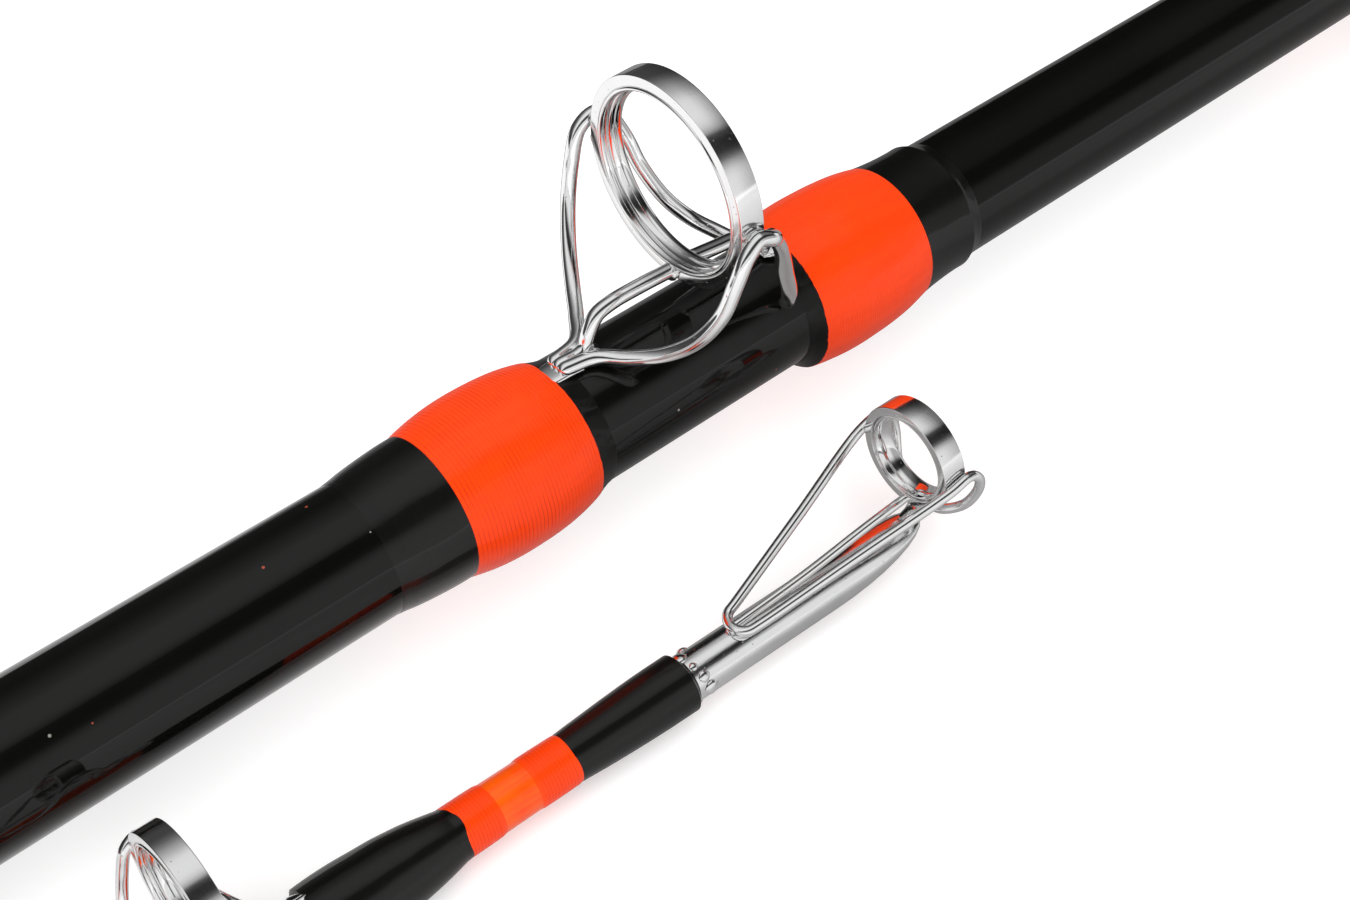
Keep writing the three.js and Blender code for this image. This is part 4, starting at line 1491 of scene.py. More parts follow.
    def build_ring(self, shop: Workshop) -> None:
        """Builds the flat band and its two-beaded insert.

        Args:
            shop: The trees and finishes.
        """
        half = self.ring_width / 2
        inner = self.ring_radius - self.ring_wall
        piece = ring_band(f"{self.name}_ring_band", self.x, half, inner, self.ring_radius, 0.07,
                          self.line, 128, self.centre)
        adopt(piece, f"{self.name}_ring", Slot.BAND, shop.finishes.band)
        outer = inner - 0.01
        reach = half * 1.15
        throat = outer - self.insert_wall
        beads: Profile = [(self.x - reach * 0.86, outer)]
        for middle, half_bead, rise in ((-0.64, 0.3, 0.6), (0.22, 0.56, 1.0)):
            for step in range(13):
                swing = math.pi * step / 12
                across = self.x + (middle - math.cos(swing) * half_bead) * reach
                depth = self.insert_wall * (0.2 + (rise - 0.2) * math.sin(swing))
                beads.append((across, outer - depth))
        beads.append((self.x + reach * 0.86, outer))
        beads = [(x, max(radius, throat)) for x, radius in beads]
        piece = turned(f"{self.name}_ring_insert", beads, self.line, 128, self.centre, sharp_angle=70)
        adopt(piece, f"{self.name}_insert", Slot.INSERT, shop.finishes.insert)

    def build_wraps(self, shop: Workshop) -> None:
        """Builds the two wraps over the feet, and the black trims where there are any.

        Args:
            shop: The trees and finishes.
        """
        level = self.radius_at(self.x)
        slot = Slot.ORANGE_THREAD if self.orange else Slot.BLACK_THREAD
        rear = self.x - self.rear_foot - self.wrap_gap - self.wrap_length
        front = self.x + self.front_wrap_x
        trimmed = self.trim_length > 0
        joint = 0.15 if trimmed else 0.0
        meet = level + 0.46 if trimmed else level + 0.1
        front_end = self.radius_at(front + self.wrap_length)
        front_meet = meet if trimmed else front_end + 0.08
        rise = level + 0.62
        ThreadWrap(
            f"{self.name}_rear_wrap", self.line, rear - joint, self.wrap_length + joint,
            self.radius_at, self.wrap_rise, self.orange, level, rear_edge=meet,
            rear_collar=0.0 if trimmed else 0.5, front_collar=1.25 if self.orange else 0.7,
            ridge=0.0035 if self.orange else 0.001, pitch=0.24 if self.orange else 0.16,
            seam_shade_strength=1.0, seed=self.seed).build(shop, slot)
        ThreadWrap(
            f"{self.name}_front_wrap", self.line, front, self.wrap_length + joint,
            self.radius_at, self.wrap_rise if self.orange else 0.56, self.orange, level,
            rear_edge=rise, front_edge=front_meet, rear_collar=0.8 if self.orange else 0.6,
            front_collar=0.0 if trimmed else 0.9, wave=0.12, seam_shade_strength=0.35,
            seed=self.seed + 1).build(shop, slot)
        if trimmed:
            ThreadWrap(
                f"{self.name}_rear_trim", self.line, rear - 0.3 - self.trim_length,
                self.trim_length + 0.15, self.radius_at, self.trim_rise,
                front_edge=meet, rear_edge=level + 0.22, rear_collar=0.9,
                seed=self.seed + 2).build(shop, Slot.BLACK_THREAD)
            ThreadWrap(
                f"{self.name}_front_trim", self.line, front + self.wrap_length + 0.15,
                self.trim_length + 0.15, self.radius_at, self.trim_rise,
                rear_edge=meet, front_edge=level + 0.22, front_collar=0.9,
                seed=self.seed + 3).build(shop, Slot.BLACK_THREAD)

    def build(self, shop: Workshop) -> None:
        """Builds the whole guide."""
        self.build_frame(shop)
        self.build_ring(shop)
        self.build_wraps(shop)


# ---- Handle -----------------------------------------------------------------------------------
@dataclass
class ButtGrips:
    """The butt cap, the two foam grips and the winding checks that close them."""

    radius: float = 10.5
    waist: float = 9.3
    check_radius: float = 9.4
    fore_tip: float = 6.3
    fore_check_radius: float = 5.9

    def cap(self, shop: Workshop) -> None:
        """Builds the rubber butt cap with a moulded rim and a dished end.

        Args:
            shop: The trees and finishes.
        """
        start, end = span_mm("butt_cap")
        bore = blank_radius(start + 6) + LOOSE_FIT
        top = self.radius
        profile = eased([
            (start + 0.5, 0, 0), (start + 0.5, 5.2, 0.3), (start + 0.05, 6.0, 0.4),
            (start + 0.0, top - 1.9, 1.2), (start + 1.9, top, 1.2), (start + 3.4, top, 0.1),
            (start + 3.6, top - 0.25, 0.1), (start + 4.1, top - 0.25, 0.1), (start + 4.3, top, 0.1),
            (end - 0.4, top, 0.3), (end, top - 0.4, 0.2), (end, bore, 0.1), (start + 5.7, bore, 0.1),
            (start + 5.7, 0, 0),
        ], closed=False)
        piece = turned("butt_cap_moulding", profile, shop.handle, 128, sleeve=False)
        adopt(piece, "butt_cap", Slot.RUBBER, shop.finishes.rubber)

    def grip(self, shop: Workshop, node: str, shape: Callable[[float], float]) -> None:
        """Builds a foam grip on the blank.

        Args:
            shop: The trees and finishes.
            node: The CAD node.
            shape: The grip's radius by the share of its length.
        """
        start, end = span_mm(node)
        outside: Profile = []
        rows = 60
        for row in range(rows + 1):
            share = row / rows
            x = start + (end - start) * share
            inset = 0.5 * max(0.0, 1 - min(share, 1 - share) * (end - start) / 0.6) ** 2
            outside.append((x, shape(share) - inset))
        bore = [(end, blank_radius(end) + CLOSE_FIT), (start, blank_radius(start) + CLOSE_FIT)]
        piece = turned(f"{node}_foam", outside + bore, shop.handle, 128)
        adopt(piece, node, Slot.FOAM, shop.finishes.foam)

    def check(self, shop: Workshop, node: str, radius: float) -> None:
        """Builds a turned winding check with a groove round it.

        Args:
            shop: The trees and finishes.
            node: The CAD node.
            radius: Its outside radius.
        """
        start, end = span_mm(node)
        middle = (start + end) / 2
        bore = blank_radius(middle) + CLOSE_FIT
        profile = eased([
            (start, bore, 0.05), (start, radius, 0.3), (middle - 0.22, radius, 0.06),
            (middle, radius - 0.22, 0.06), (middle + 0.22, radius, 0.06), (end, radius - 0.1, 0.45),
            (end, bore, 0.05),
        ], closed=True)
        piece = turned(f"{node}_collar", profile, shop.handle, 128)
        adopt(piece, node, Slot.TRIM, shop.finishes.alloy)

    def build(self, shop: Workshop) -> None:
        """Builds all five pieces.

        Args:
            shop: The trees and finishes.
        """
        top, waist, check = self.radius, self.waist, self.check_radius

        def rear(share: float) -> float:
            """Gives the rear grip's shape.

            Args:
                share: How far along the grip, from 0 to 1.

            Returns:
                The radius there.
            """
            if share < 0.3:
                return top
            if share < 0.62:
                t = (share - 0.3) / 0.32
                return top + (waist - top) * (3 - 2 * t) * t * t
            t = (share - 0.62) / 0.38
            return waist + (check - waist + 0.1 * math.sin(math.pi * t)) * t

        def fore(share: float) -> float:
            """Gives the fore grip's shape.

            Args:
                share: How far along the grip, from 0 to 1.

            Returns:
                The radius there.
            """
            if share < 0.15:
                return top - 0.5 + 0.5 * math.sin(share / 0.15 * math.pi / 2)
            if share < 0.5:
                t = (share - 0.15) / 0.35
                return top - t * t
            t = (share - 0.5) / 0.5
            return (top - 1) * (1 - t) + self.fore_tip * t

        self.cap(shop)
        self.grip(shop, "rear_grip", rear)
        self.grip(shop, "fore_grip", fore)
        self.check(shop, "rear_check", check)
        self.check(shop, "fore_check", self.fore_check_radius)


@dataclass
class ReelSeat:
    """The threaded barrel, its two arbors, the fixed and the sliding hood, and the lock nut."""

    radius: float = 8.0
    bore: float = 6.4
    bed_height: float = 7.2
    thread_depth: float = 0.35
    thread_turns: float = 17.0
    hood_bore: float = 8.15
    hood_radius: float = 9.5
    hood_half: float = 8.5
    hood_top: float = 14.4
    pocket_half: float = 6.5
    pocket_top: float = 12.7
    pocket_depth: float = 10.0
    nut_radius: float = 10.1
    hood_edge: float = 0.985
    rib_count: int = 44

    def barrel(self, shop: Workshop) -> None:
        """Builds the barrel with its flat bed and its screw thread.

        Args:
            shop: The trees and finishes.
        """
        start, end = span_mm("reel_seat_barrel")
        bed_start = span_mm("fixed_hood")[1] + 1.0
        bed_end = span_mm("sliding_hood")[0] - 1.0
        root = self.radius - self.thread_depth
        points: list[Point] = []
        sides = 128

        slope = 0.6
        stops = [
            (start, self.bore, None), (start, self.radius - 0.25, None),
            (start + 0.25, self.radius, None), (bed_start, self.radius, None),
            (bed_start + 0.01, self.radius, self.bed_height + 0.1),
            (bed_start + slope, self.radius, self.bed_height),
            (bed_end - slope, self.radius, self.bed_height),
            (bed_end - 0.01, self.radius, self.bed_height + 0.1), (bed_end, self.radius, None),
            (bed_end + 0.6, self.radius, None), (bed_end + 0.9, root, None),
            (end - 0.5, root, None), (end - 0.4, self.radius - 0.1, None),
            (end, self.radius - 0.3, None), (end, self.bore, None),
        ]
        for x, radius, cut in stops:
            for side in range(sides):
                angle = TAU * side / sides
                y, z = radius * math.sin(angle), radius * math.cos(angle)
                points.append((x, y, min(z, cut) if cut is not None else z))
        faces = ring_faces(len(stops), sides, True)
        piece = solid("reel_seat_moulding", points, faces, shop.handle, start, 30)
        run_tree(piece, shop.trees.spiral, shop.finishes.nylon,
                 start=(bed_end + 1.3) * MM, length=(end - bed_end - 2.4) * MM,
                 radius=(root - 0.02) * MM, turns=self.thread_turns, depth=self.thread_depth * MM)
        adopt(piece, "reel_seat_barrel", Slot.SEAT)

    def hood(self, shop: Workshop, node: str, faces_tip: bool) -> None:
        """Builds a hood: a round sleeve whose roof rises over the pocket for the reel's foot.

        Args:
            shop: The trees and finishes.
            node: The CAD node.
            faces_tip: Whether the pocket opens towards the tip.
        """
        start, end = span_mm(node)
        length = end - start
        sides = 128
        points: list[Point] = []

        def outer(angle: float, lift: float) -> Pair:
            """Gives a point on the hood's outside.

            Args:
                angle: The angle about the line, from straight up.
                lift: How far the roof has risen, from 0 to 1.

            Returns:
                Its place across and up.
            """
            y, z = self.hood_radius * math.sin(angle), self.hood_radius * math.cos(angle)
            if math.cos(angle) < 0.2:
                return y, z
            half, top, power = self.hood_half, self.hood_top, 3.4
            cosine, sine = math.cos(angle), math.sin(angle)
            reach = ((abs(sine) / half) ** power + (cosine / top) ** power) ** (-1 / power)
            blend = min(1.0, (cosine - 0.2) / 0.25)
            blend = blend * blend * (3 - 2 * blend) * lift
            reach = self.hood_radius + (reach - self.hood_radius) * blend
            return reach * sine, reach * cosine

        def inner(angle: float, pocket: float) -> Pair:
            """Gives a point on the hood's inside.

            Args:
                angle: The angle about the line, from straight up.
                pocket: 1 in the pocket, and 0 in the plain bore.

            Returns:
                Its place across and up.
            """
            cosine, sine = math.cos(angle), math.sin(angle)
            reach = self.hood_bore
            if pocket > 0 and cosine > 0.55:
                up = self.pocket_top / cosine
                side = self.pocket_half / max(abs(sine), 1e-6)
                reach = max(reach, min(up, side))
            return reach * sine, reach * cosine

        def ring(x: float, spots: list[Pair]) -> None:
            """Adds a ring of points at a place along the line."""
            points.extend((x, y, z) for y, z in spots)

        angles = [TAU * side / sides for side in range(sides)]
        closed, mouth = (start, end) if faces_tip else (end, start)
        step = 1 if faces_tip else -1
        ring(closed, [inner(a, 0) for a in angles])
        ring(closed, [tuple(v * self.hood_edge for v in outer(a, 0)) for a in angles])
        ring(closed + 0.2 * step, [outer(a, 0) for a in angles])
        for share in (0.04, 0.1, 0.16, 0.22, 0.28):
            lift = math.sin(share / 0.28 * math.pi / 2)
            ring(closed + length * share * step, [outer(a, lift) for a in angles])
        ring(mouth - 0.3 * step, [outer(a, 1) for a in angles])
        ring(mouth, [tuple(v * self.hood_edge for v in outer(a, 1)) for a in angles])
        ring(mouth, [inner(a, 1) for a in angles])
        ring(mouth - self.pocket_depth * step, [inner(a, 1) for a in angles])
        ring(mouth - (self.pocket_depth + 0.01) * step, [inner(a, 0) for a in angles])
        faces = ring_faces(len(points) // sides, sides, True)
        piece = solid(f"{node}_shell", points, faces, shop.handle, start, 34)
        adopt(piece, node, Slot.HOOD, shop.finishes.alloy)

    def nut(self, shop: Workshop) -> None:
        """Builds the lock nut with grip ribs between two plain rims.

        Args:
            shop: The trees and finishes.
        """
        start, end = span_mm("lock_nut")
        radius = self.nut_radius
        waist = radius - 0.45
        profile = eased([
            (start, self.hood_bore, 0.1), (start, radius - 0.5, 0.3), (start + 0.7, radius, 0.3),
            (start + 1.5, radius, 0.1), (start + 1.8, waist, 0.1), (end - 1.8, waist, 0.1),
            (end - 1.5, radius, 0.1), (end - 0.7, radius, 0.3), (end, radius - 0.5, 0.3),
            (end, self.hood_bore, 0.1),
        ], closed=True)
        piece = turned("lock_nut_body", profile, shop.handle, 128)
        run_tree(piece, shop.trees.ribs, shop.finishes.dark_alloy, middle=(start + end) / 2 * MM,
                 length=(end - start - 3.4) * MM, radius=waist * MM, rib=0.38 * MM,
                 count=self.rib_count)
        adopt(piece, "lock_nut", Slot.NUT)

    def arbor(self, shop: Workshop, node: str) -> None:
        """Builds an arbor that packs the barrel out from the blank.

        Args:
            shop: The trees and finishes.
            node: The CAD node.
        """
        start, end = span_mm(node)
        outer = self.bore - CLOSE_FIT
        middle = (start + end) / 2
        profile = eased([
            (start, blank_radius(middle) + LOOSE_FIT, 0.05), (start, outer, 0.2),
            (middle - 1.0, outer, 0.1), (middle - 0.6, outer - 0.4, 0.1),
            (middle + 0.6, outer - 0.4, 0.1), (middle + 1.0, outer, 0.1), (end, outer, 0.2),
            (end, blank_radius(middle) + LOOSE_FIT, 0.05),
        ], closed=True)
        piece = turned(f"{node}_bush", profile, shop.handle, 64)
        adopt(piece, node, Slot.ARBOR, shop.finishes.arbor)

    def build(self, shop: Workshop) -> None:
        """Builds the whole seat.

        Args:
            shop: The trees and finishes.
        """
        self.barrel(shop)
        self.arbor(shop, "seat_arbor_rear")
        self.arbor(shop, "seat_arbor_front")
        self.hood(shop, "fixed_hood", True)
        self.hood(shop, "sliding_hood", False)
        self.nut(shop)


@dataclass
class ButtBlank:
    """The hollow butt blank, the ferrule on its front end and the wrap behind the ferrule."""

    wall: float = 1.1
    socket: float = 2.35
    ferrule_wall: float = 0.45
    wrap_rise: float = 0.45

    def build(self, shop: Workshop) -> None:
        """Builds the blank, the ferrule and the wrap.

        Args:
            shop: The trees and finishes.
        """
        start, end = span_mm("butt_blank")
        rows = 64
        outside = [(start + (end - start) * row / rows, blank_radius(start + (end - start) * row / rows))
                   for row in range(rows + 1)]
        inside = [(end, blank_radius(end) - self.wall), (start, blank_radius(start) - self.wall)]
        piece = turned("butt_blank_tube", outside + inside, shop.handle, 128)
        adopt(piece, "butt_blank", Slot.GRAPHITE, shop.finishes.graphite)
        self.ferrule(shop)
        wrap_start, wrap_end = span_mm("ferrule_wrap")
        ThreadWrap("ferrule_wrap", shop.handle, wrap_start, wrap_end - wrap_start, blank_radius,
                   self.wrap_rise, rear_collar=0.5, seed=9).build(shop, Slot.BLACK_THREAD)

    def ferrule(self, shop: Workshop) -> None:
        """Builds the ferrule with a rolled lip and two turned lines.

        Args:
            shop: The trees and finishes.
        """
        start, end = span_mm("ferrule")
        lap = blank_radius(start) + CLOSE_FIT
        outer = blank_radius(start) + 0.1 + self.ferrule_wall
        step = span_mm("butt_blank")[1] + 0.3
        profile = eased([
            (start, lap, 0.02), (start, outer - 0.1, 0.1), (start + 0.3, outer, 0.1),
            (start + 1.2, outer, 0.05), (start + 1.35, outer - 0.12, 0.05),
            (start + 1.5, outer, 0.05), (end - 2.6, outer, 0.05), (end - 2.45, outer - 0.12, 0.05),
            (end - 2.3, outer, 0.05), (end - 0.4, outer, 0.25), (end, outer - 0.4, 0.25),
            (end, self.socket, 0.15), (step, self.socket, 0.05), (step, lap, 0.05),
        ], closed=True)
        piece = turned("ferrule_sleeve", profile, shop.handle, 96)
        adopt(piece, "ferrule", Slot.TRIM, shop.finishes.dark_alloy)


# ---- Tip section ------------------------------------------------------------------------------
@dataclass
class TipBlank:
    """The solid-glass tip blank, its shoulder wrap and the orange trims before the tip-top."""

    male_radius: float = 2.3
    male_length: float = 23.0
    shoulder: float = 141.7
    shoulder_radius: float = 1.37
    spigot_radius: float = 1.02
    spigot_end: float = 158.2
    shoulder_wrap: Pair = (26.0, 9.0)
    rear_trim: Pair = (134.8, 2.0)
    front_trim: Pair = (139.6, 2.0)
    trim_rise: float = 0.06

    def radius_at(self, u: float) -> float:
        """Gives the blank's radius at a distance from its male end."""
        along = (u - self.male_length) / (self.shoulder - self.male_length)
        share = max(0.0, min(1.0, along))
        return self.male_radius + (self.shoulder_radius - self.male_radius) * share

    def build(self, shop: Workshop) -> None:
        """Builds the blank and its wraps.

        Args:
            shop: The trees and finishes.
        """
        profile: Profile = [(0, 0), (0, self.male_radius - 0.3), (0.15, self.male_radius - 0.12),
                            (0.6, self.male_radius)]
        rows = 48
        for row in range(rows + 1):
            u = self.male_length + (self.shoulder - self.male_length) * row / rows
            profile.append((u, self.radius_at(u)))
        profile += [(self.shoulder, self.spigot_radius), (self.spigot_end, self.spigot_radius),
                    (self.spigot_end, 0)]
        piece = turned("tip_blank_rod", profile, shop.tip, 96, sleeve=False)
        adopt(piece, "tip_blank", Slot.GLASS, shop.finishes.glass)
        start, length = self.shoulder_wrap
        ThreadWrap("shoulder_wrap", shop.tip, start, length, self.radius_at, 0.45,
                   rear_collar=0.5, front_collar=0.5, sides=80, seed=11).build(shop, Slot.BLACK_THREAD)
        for node, (start, length), seed in (("tip_rear_trim", self.rear_trim, 12),
                                            ("tip_front_trim", self.front_trim, 13)):
            ThreadWrap(node, shop.tip, start - 0.08, length + 0.16, self.radius_at, self.trim_rise,
                       True, rear_collar=0.2, front_collar=0.2, seam_shade_strength=0.9,
                       pitch=0.2, under=ORANGE_THREAD, sides=80,
                       seed=seed).build(shop, Slot.ORANGE_THREAD)


@dataclass
class TipTop:
    """The tip-top: a plated tube, one bent wire over it, and the ring that the wire carries."""

    length: float = 166.0
    tube_length: float = 22.0
    tube_radius: float = 1.34
    wall: float = 0.22
    wrap: Pair = (141.8, 7.5)
    wrap_rise: float = 0.34
    ring_radius: float = 3.1
    ring_width: float = 1.45
    ring_wall: float = 0.5
    insert_wall: float = 0.35
    ring_height: float = 5.7
    ring_setback: float = 0.1
    wire_radius: float = 0.29

    def tube(self, shop: Workshop) -> None:
        """Builds the tube, whose front end is pinched flat round the wire's neck.

        Args:
            shop: The trees and finishes.
        """
        start = self.length - self.tube_length
        radius = self.tube_radius
        stations = []
        for x, width, depth, drop in (
            (start, radius - 0.05, radius - 0.05, 0.0), (start + 0.1, radius, radius, 0.0),
            (self.length - 7.0, radius, radius, 0.0), (self.length - 5.6, radius, radius * 0.98, 0.02),
            (self.length - 4.5, radius, radius * 0.92, 0.1),
            (self.length - 3.4, radius * 0.98, radius * 0.82, 0.22),
            (self.length - 2.4, radius * 0.93, radius * 0.69, 0.38),
            (self.length - 1.5, radius * 0.84, radius * 0.53, 0.54),
            (self.length - 0.8, radius * 0.7, radius * 0.39, 0.68),
            (self.length - 0.3, radius * 0.52, radius * 0.26, 0.79),
            (self.length, radius * 0.32, radius * 0.14, 0.88),
        ):
            stations.append(Station((x, 0, drop), (0, 0, 1), width, depth))
        parts = [lofted("tip_top_tube_body", stations, shop.tip, 64, 2.0)]
        root = self.wrap[0] + self.wrap[1] + 0.35
        for index, turn in enumerate((-2.3, -1.5, -0.9, -0.35, 0.3, 0.9, 1.7, 2.5)):
            lump = 0.16 + 0.07 * ((index * 5) % 3)
            ahead = root + 0.22 * ((index * 7) % 4)
            spot = Vector((ahead, math.sin(turn) * radius, math.cos(turn) * radius))
            rows = [Station(tuple(spot + Vector(((step - 3) * lump * 0.5, 0, 0))),
                            (0, math.sin(turn), math.cos(turn)), lump * 1.5 * girth, lump * 0.8 * girth)
                    for step, girth in enumerate((0.15, 0.7, 0.95, 1.0, 0.9, 0.6, 0.15))]
            parts.append(lofted(f"tip_top_lump_{index}", rows, shop.tip, 14, 2.0))
        piece = fuse("tip_top_tube_sleeve", parts)
        adopt(piece, "tip_top_tube", Slot.TUBE, shop.finishes.tube)

    def wires(self) -> list[list[Point]]:
        """Gives the bent wire, and the strut that runs under it to the ring.

        Returns:
            Each wire's points.
        """
        side = self.ring_radius + self.wire_radius
        top = self.tube_radius + self.wire_radius
        ring_x = self.length - self.ring_setback
        front = ring_x + self.ring_width / 2 + self.wire_radius + 0.3
        height, radius = self.ring_height, self.ring_radius

        def arm(way: float) -> list[Point]:
            """Gives the half of the bent wire that lies on one side.

            Args:
                way: The side, 1 or -1.

            Returns:
                Its points, from the tube's front end.
            """
            return [
                (self.length + 0.2, way * 0.42, top + 0.2), (self.length + 0.25, way * 0.6, top + 0.5),
                (front - 0.75, way * 1.6, height - radius * 1.1),
                (front - 0.1, way * 2.6, height - radius * 0.9),
                (front + 0.3, way * (side - 0.2), height - radius * 0.5),
                (front + 0.15, way * side, height - radius * 0.15),
                (front - 0.5, way * side, height + 0.04 * radius),
                (ring_x - 0.7, way * side, height - 0.04 * radius),
                (ring_x - 6.5, way * side * 0.635, top + (height - top) * 0.5),
                (self.length - 12.1, way * 0.98, top + 0.2), (self.length - 12.65, way * 0.84, top + 0.07),
                (self.length - 12.98, way * 0.48, top + 0.01),
            ]

        bend: Point = (self.length - 13.1, 0, top)
        foot = height - radius
        strut: list[Point] = [
            (self.length - 12.9, 0, top - 0.02), (self.length - 8.0, 0, top + 0.3),
            (self.length - 3.5, 0, foot - 0.1), (ring_x - self.ring_width / 2, 0, foot + 0.15),
        ]
        return [arm(-1) + [bend] + arm(1)[::-1], strut]

    def neck(self, shop: Workshop) -> Piece:
        """Builds the solder that ties the wire's two ends to the pinched tube.

        Args:
            shop: The trees and finishes.

        Returns:
            The new piece.
        """
        rows = ((-1.4, 0.88, 0.4, 0.12), (-0.8, 0.97, 0.55, 0.22), (-0.2, 1.12, 0.6, 0.3),
                (0.1, 1.4, 0.6, 0.3), (0.25, 1.75, 0.64, 0.28), (0.32, 2.05, 0.6, 0.26),
                (0.36, 2.25, 0.3, 0.14))
        stations = [Station((self.length + ahead, 0, height), (-0.5, 0, 1), width, depth)
                    for ahead, height, width, depth in rows]
        return lofted("tip_top_neck", stations, shop.tip, 20, 2.2)

    def build(self, shop: Workshop) -> None:
        """Builds the whole tip-top and the wrap over its tube.

        Args:
            shop: The trees and finishes.
        """
        self.tube(shop)
        bent, strut = self.wires()
        finish = shop.finishes.wire
        parts = [
            drawn_wire("tip_top_bent", bent, self.wire_radius, shop.tip, shop.trees, finish, 0.18),
            drawn_wire("tip_top_strut", strut, self.wire_radius * 0.9, shop.tip, shop.trees, finish),
            self.neck(shop),
        ]
        piece = fuse("tip_top_wires", parts)
        adopt(piece, "tip_top_frame", Slot.WIRE, finish)
        ring_x = self.length - self.ring_setback
        half = self.ring_width / 2
        inner = self.ring_radius - self.ring_wall
        ring = ring_band("tip_top_band", ring_x, half, inner, self.ring_radius, 0.06, shop.tip, 112,
                         self.ring_height)
        adopt(ring, "tip_top_ring", Slot.BAND, shop.finishes.band)
        outer = inner - 0.01
        bead: Profile = [(ring_x - half * 0.8, outer)]
        for step in range(13):
            swing = math.pi * step / 12
            bead.append((ring_x - math.cos(swing) * half * 0.9,
                         outer - self.insert_wall * (0.3 + 0.7 * math.sin(swing))))
        bead.append((ring_x + half * 0.8, outer))
        insert = turned("tip_top_bead", bead, shop.tip, 112, self.ring_height, sharp_angle=70)
        adopt(insert, "tip_top_insert", Slot.INSERT, shop.finishes.insert)
        start, length = self.wrap
        ThreadWrap("tip_tube_wrap", shop.tip, start, length, lambda u: self.tube_radius,
                   self.wrap_rise - 0.08, rear_edge=self.tube_radius + 0.05,
                   front_edge=self.tube_radius + 0.33, sides=80, front_collar=0.3,
                   seed=14).build(shop, Slot.BLACK_THREAD)


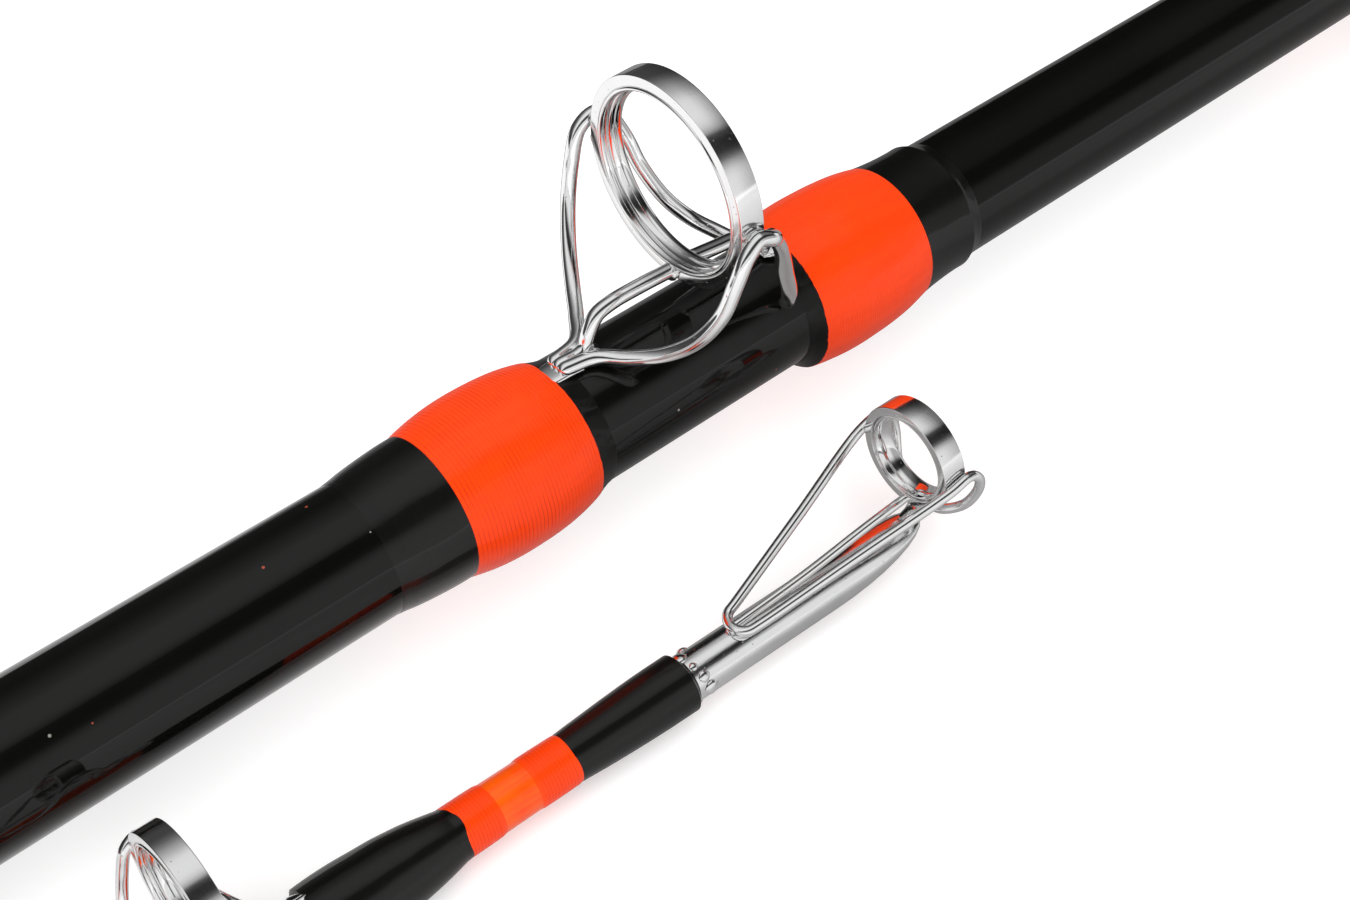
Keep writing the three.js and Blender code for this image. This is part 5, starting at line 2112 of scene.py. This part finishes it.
# ---- Studio -----------------------------------------------------------------------------------
@dataclass
class Studio:
    """A white table and background, soft lamps, dark flags for the shine, and the camera."""

    target: tuple[float, float, float] = (398.57, 0.0, -6.46)
    distance: float = 132.1
    azimuth: float = -37.08
    elevation: float = 43.39
    roll: float = 4.65
    lens: float = 62.67
    table_white: float = 0.82
    table_glow: float = 0.35
    fill: float = 0.62
    table_gap: float = 0.02
    flag_radius: float = 170.0
    flag_cover: Levels = (
        (-100, 0.94), (-60, 0.93), (-50, 0.86), (-42, 0.74), (-34, 0.58), (-26, 0.42), (-20, 0.25),
        (-14, 0.08), (-8, 0.03), (4, 0.0), (12, 0.04), (18, 0.2), (24, 0.55), (27, 0.92), (34, 0.97),
        (44, 0.96), (50, 0.86), (56, 0.45), (62, 0.12), (68, 0.0), (88, 0.0),
    )
    fade: Levels = ((-600, 0.0), (485, 0.0), (525, 0.8), (1100, 0.9))
    table_cover: Levels = (
        (-260, 0.3), (-110, 0.35), (-54, 0.42), (-26, 0.52), (-17, 0.7), (0, 0.75), (60, 0.8),
        (260, 0.85),
    )
    table_fade: Levels = (
        (-600, -1.0), (384, -1.0), (396, 0.0), (485, 0.0), (525, 0.4), (1100, 0.45),
    )

    def flags(self, name: str, rows: list[tuple[float, float, float, float]],
              fade: Levels) -> None:
        """Makes dark cloth that only mirrors see, as thick as each row says.

        Args:
            name: The object's name.
            rows: Each row's place across and up, in millimetres, how much it covers, and how much
                of the fade it takes.
            fade: Places along X, and how much of the light left there is taken away; less than 0
                gives some of what is covered back.
        """
        points, covers = [], []
        for y, z, share, takes in rows:
            for x, extra in fade:
                points.append((x * MM, y * MM, z * MM))
                room = share if extra < 0 else 1 - share
                covers.append(share + room * extra * takes)
        width = len(fade)
        faces = []
        for row in range(len(rows) - 1):
            for step in range(width - 1):
                first = row * width + step
                faces.append((first, first + 1, first + width + 1, first + width))
        mesh = bpy.data.meshes.new(name)
        mesh.from_pydata(points, [], faces)
        cover = mesh.attributes.new("cover", "FLOAT", "POINT")
        cover.data.foreach_set("value", covers)
        sheet = NodeSheet(name)
        share = sheet.node("ShaderNodeAttribute", attribute_name="cover").outputs["Fac"]
        clear = sheet.node("ShaderNodeBsdfTransparent")
        dark = sheet.node("ShaderNodeEmission", {"Color": (0.0, 0.0, 0.0, 1.0), "Strength": 1.0})
        both = sheet.node("ShaderNodeMixShader", {0: share, 1: clear.outputs[0], 2: dark.outputs[0]})
        mesh.materials.append(sheet.surface(both))
        cloth = link_new(name, mesh)
        for rays in ("camera", "diffuse", "shadow", "transmission"):
            setattr(cloth, f"visible_{rays}", False)

    def table(self, height: float) -> None:
        """Makes the white table top.

        Args:
            height: Its height, in metres.
        """
        mesh = bpy.data.meshes.new("table_top")
        half = 4.0
        corners = [(-half, -half, height), (half, -half, height), (half, half, height),
                   (-half, half, height)]
        mesh.from_pydata(corners, [], [(0, 1, 2, 3)])
        sheet = NodeSheet("white_table")
        white = (self.table_white, self.table_white, self.table_white, 1.0)
        dull = sheet.node("ShaderNodeBsdfDiffuse", {"Color": white})
        strength = sheet.math("MULTIPLY", sheet.seen("ADD"), self.table_glow)
        glow = sheet.node("ShaderNodeEmission", {
            "Color": (1.0, 1.0, 1.0, 1.0), "Strength": strength,
        })
        both = sheet.node("ShaderNodeAddShader", {0: dull.outputs[0], 1: glow.outputs[0]})
        mesh.materials.append(sheet.surface(both))
        top = link_new("table_top", mesh)

    def background(self) -> None:
        """Makes the world white for the camera and mirrors, and a plain fill for the rest."""
        world = bpy.data.worlds.new("white_studio")
        bpy.context.scene.world = world
        world.use_nodes = True
        sheet = Sheet(world.node_tree)
        level = sheet.node("ShaderNodeMapRange", {
            "Value": sheet.seen("MAXIMUM"), "To Min": self.fill, "To Max": 1.0,
        })
        glow = sheet.node("ShaderNodeBackground", {"Strength": level.outputs[0]})
        sheet.node("ShaderNodeOutputWorld", {"Surface": glow.outputs[0]})

    def lamp(self, name: str, place: Point, aim: Vector, size: float, watts: float) -> None:
        """Hangs a soft square lamp that mirrors don't see.

        Args:
            name: The lamp's name.
            place: Where it hangs from the aim, in metres.
            aim: What it points at, in metres.
            size: Its side, in metres.
            watts: Its power.
        """
        data = bpy.data.lights.new(name, "AREA")
        data.shape = "SQUARE"
        data.size = size
        data.energy = watts
        lamp = link_new(name, data)
        offset = Vector(place)
        lamp.location = aim + offset
        lamp.rotation_euler = offset.to_track_quat("Z", "Y").to_euler()
        lamp.visible_glossy = False
        lamp.visible_camera = False

    def camera(self) -> None:
        """Sets the camera up."""
        data = bpy.data.cameras.new("camera")
        data.lens = self.lens
        data.sensor_width = 36.0
        data.clip_start = 0.005
        data.clip_end = 50.0
        a, e, r = (math.radians(v) for v in (self.azimuth, self.elevation, self.roll))
        back = Vector((math.sin(a) * math.cos(e), -math.cos(a) * math.cos(e), math.sin(e)))
        level = Vector((math.cos(a), math.sin(a), 0))
        upright = back.cross(level)
        right = level * math.cos(r) - upright * math.sin(r)
        up = upright * math.cos(r) + level * math.sin(r)
        turn = Matrix((right, up, back)).transposed().to_4x4()
        place = (Vector(self.target) + back * self.distance) * MM
        camera = link_new("camera", data)
        camera.matrix_world = Matrix.Translation(place) @ turn
        bpy.context.scene.camera = camera

    def build(self) -> None:
        """Sets up the whole studio."""
        self.camera()
        self.background()
        bottom = CAD_BOUNDS[0][2]
        self.table(bottom - self.table_gap * MM)
        rows = []
        for angle, share in self.flag_cover:
            turn = math.radians(angle)
            takes = 1.0 if angle < 30 else 0.6
            rows.append((-math.sin(turn) * self.flag_radius, math.cos(turn) * self.flag_radius,
                         share, takes))
        self.flags("shine_flags", rows, self.fade)
        low = bottom / MM + 0.1
        rows = [(y, low, share, 0.7 if y > -1 else 0.25) for y, share in self.table_cover]
        self.flags("table_flags", rows, self.table_fade)
        aim = Vector(self.target) * MM
        self.lamp("key_lamp", (-0.25, -0.35, 0.65), aim, 0.6, 5.0)
        self.lamp("rim_lamp", (0.3, 0.5, 0.5), aim, 0.6, 2.0)
        bpy.context.scene.view_settings.view_transform = "Standard"


def build_guides(shop: Workshop, tip: TipBlank) -> None:
    """Builds the four guides, two on each section.

    Args:
        shop: The trees and finishes.
        tip: The tip blank that the small ones sit on.
    """
    stripper_x = centre_mm("stripper_ring").x
    middle_x = centre_mm("middle_ring").x
    guides = [
        LineGuide("stripper", shop.handle, stripper_x, blank_radius, ring_radius=6.0, ring_width=1.5,
                  ring_wall=0.65, insert_wall=0.5, clearance=2.15, wire_radius=0.425, rear_foot=8.4,
                  front_foot=8.1, wrap_gap=0.9, front_wrap_x=6.45, wrap_length=8.0, wrap_rise=0.95,
                  trim_length=3.4, orange=True, seed=21),
        LineGuide("middle", shop.handle, middle_x, blank_radius, ring_radius=4.6, ring_width=1.4,
                  ring_wall=0.6, insert_wall=0.45, clearance=1.9, wire_radius=0.38, rear_foot=6.6,
                  front_foot=6.3, wrap_gap=0.8, front_wrap_x=5.2, wrap_length=6.6, wrap_rise=0.85,
                  orange=True, seed=31),
        LineGuide("lower", shop.tip, 63.0, tip.radius_at, ring_radius=4.3, ring_width=1.3,
                  ring_wall=0.55, insert_wall=0.4, clearance=1.6, wire_radius=0.33, rear_foot=6.0,
                  front_foot=5.8, wrap_gap=0.7, front_wrap_x=5.2, wrap_length=8.0, wrap_rise=0.75,
                  seed=41),
        LineGuide("upper", shop.tip, 121.3, tip.radius_at, ring_radius=4.0, ring_width=1.3,
                  ring_wall=0.55, insert_wall=0.4, clearance=1.5, wire_radius=0.31, rear_foot=5.8,
                  front_foot=5.7, wrap_gap=0.7, front_wrap_x=5.3, wrap_length=8.0, wrap_rise=0.7,
                  seed=51),
    ]
    for guide in guides:
        guide.build(shop)


def main() -> None:
    """Builds the rod's pieces in order, then the studio."""
    logging.basicConfig(level=logging.INFO, format="%(message)s")
    tip = TipBlank()
    wrap_start, wrap_length = tip.shoulder_wrap
    shop = Workshop(Finishes(), Trees(), handle_line(), tip_line(wrap_start + wrap_length / 2))
    ButtGrips().build(shop)
    ReelSeat().build(shop)
    ButtBlank().build(shop)
    tip.build(shop)
    TipTop().build(shop)
    build_guides(shop, tip)
    Studio().build()


if __name__ == "__main__":
    main()
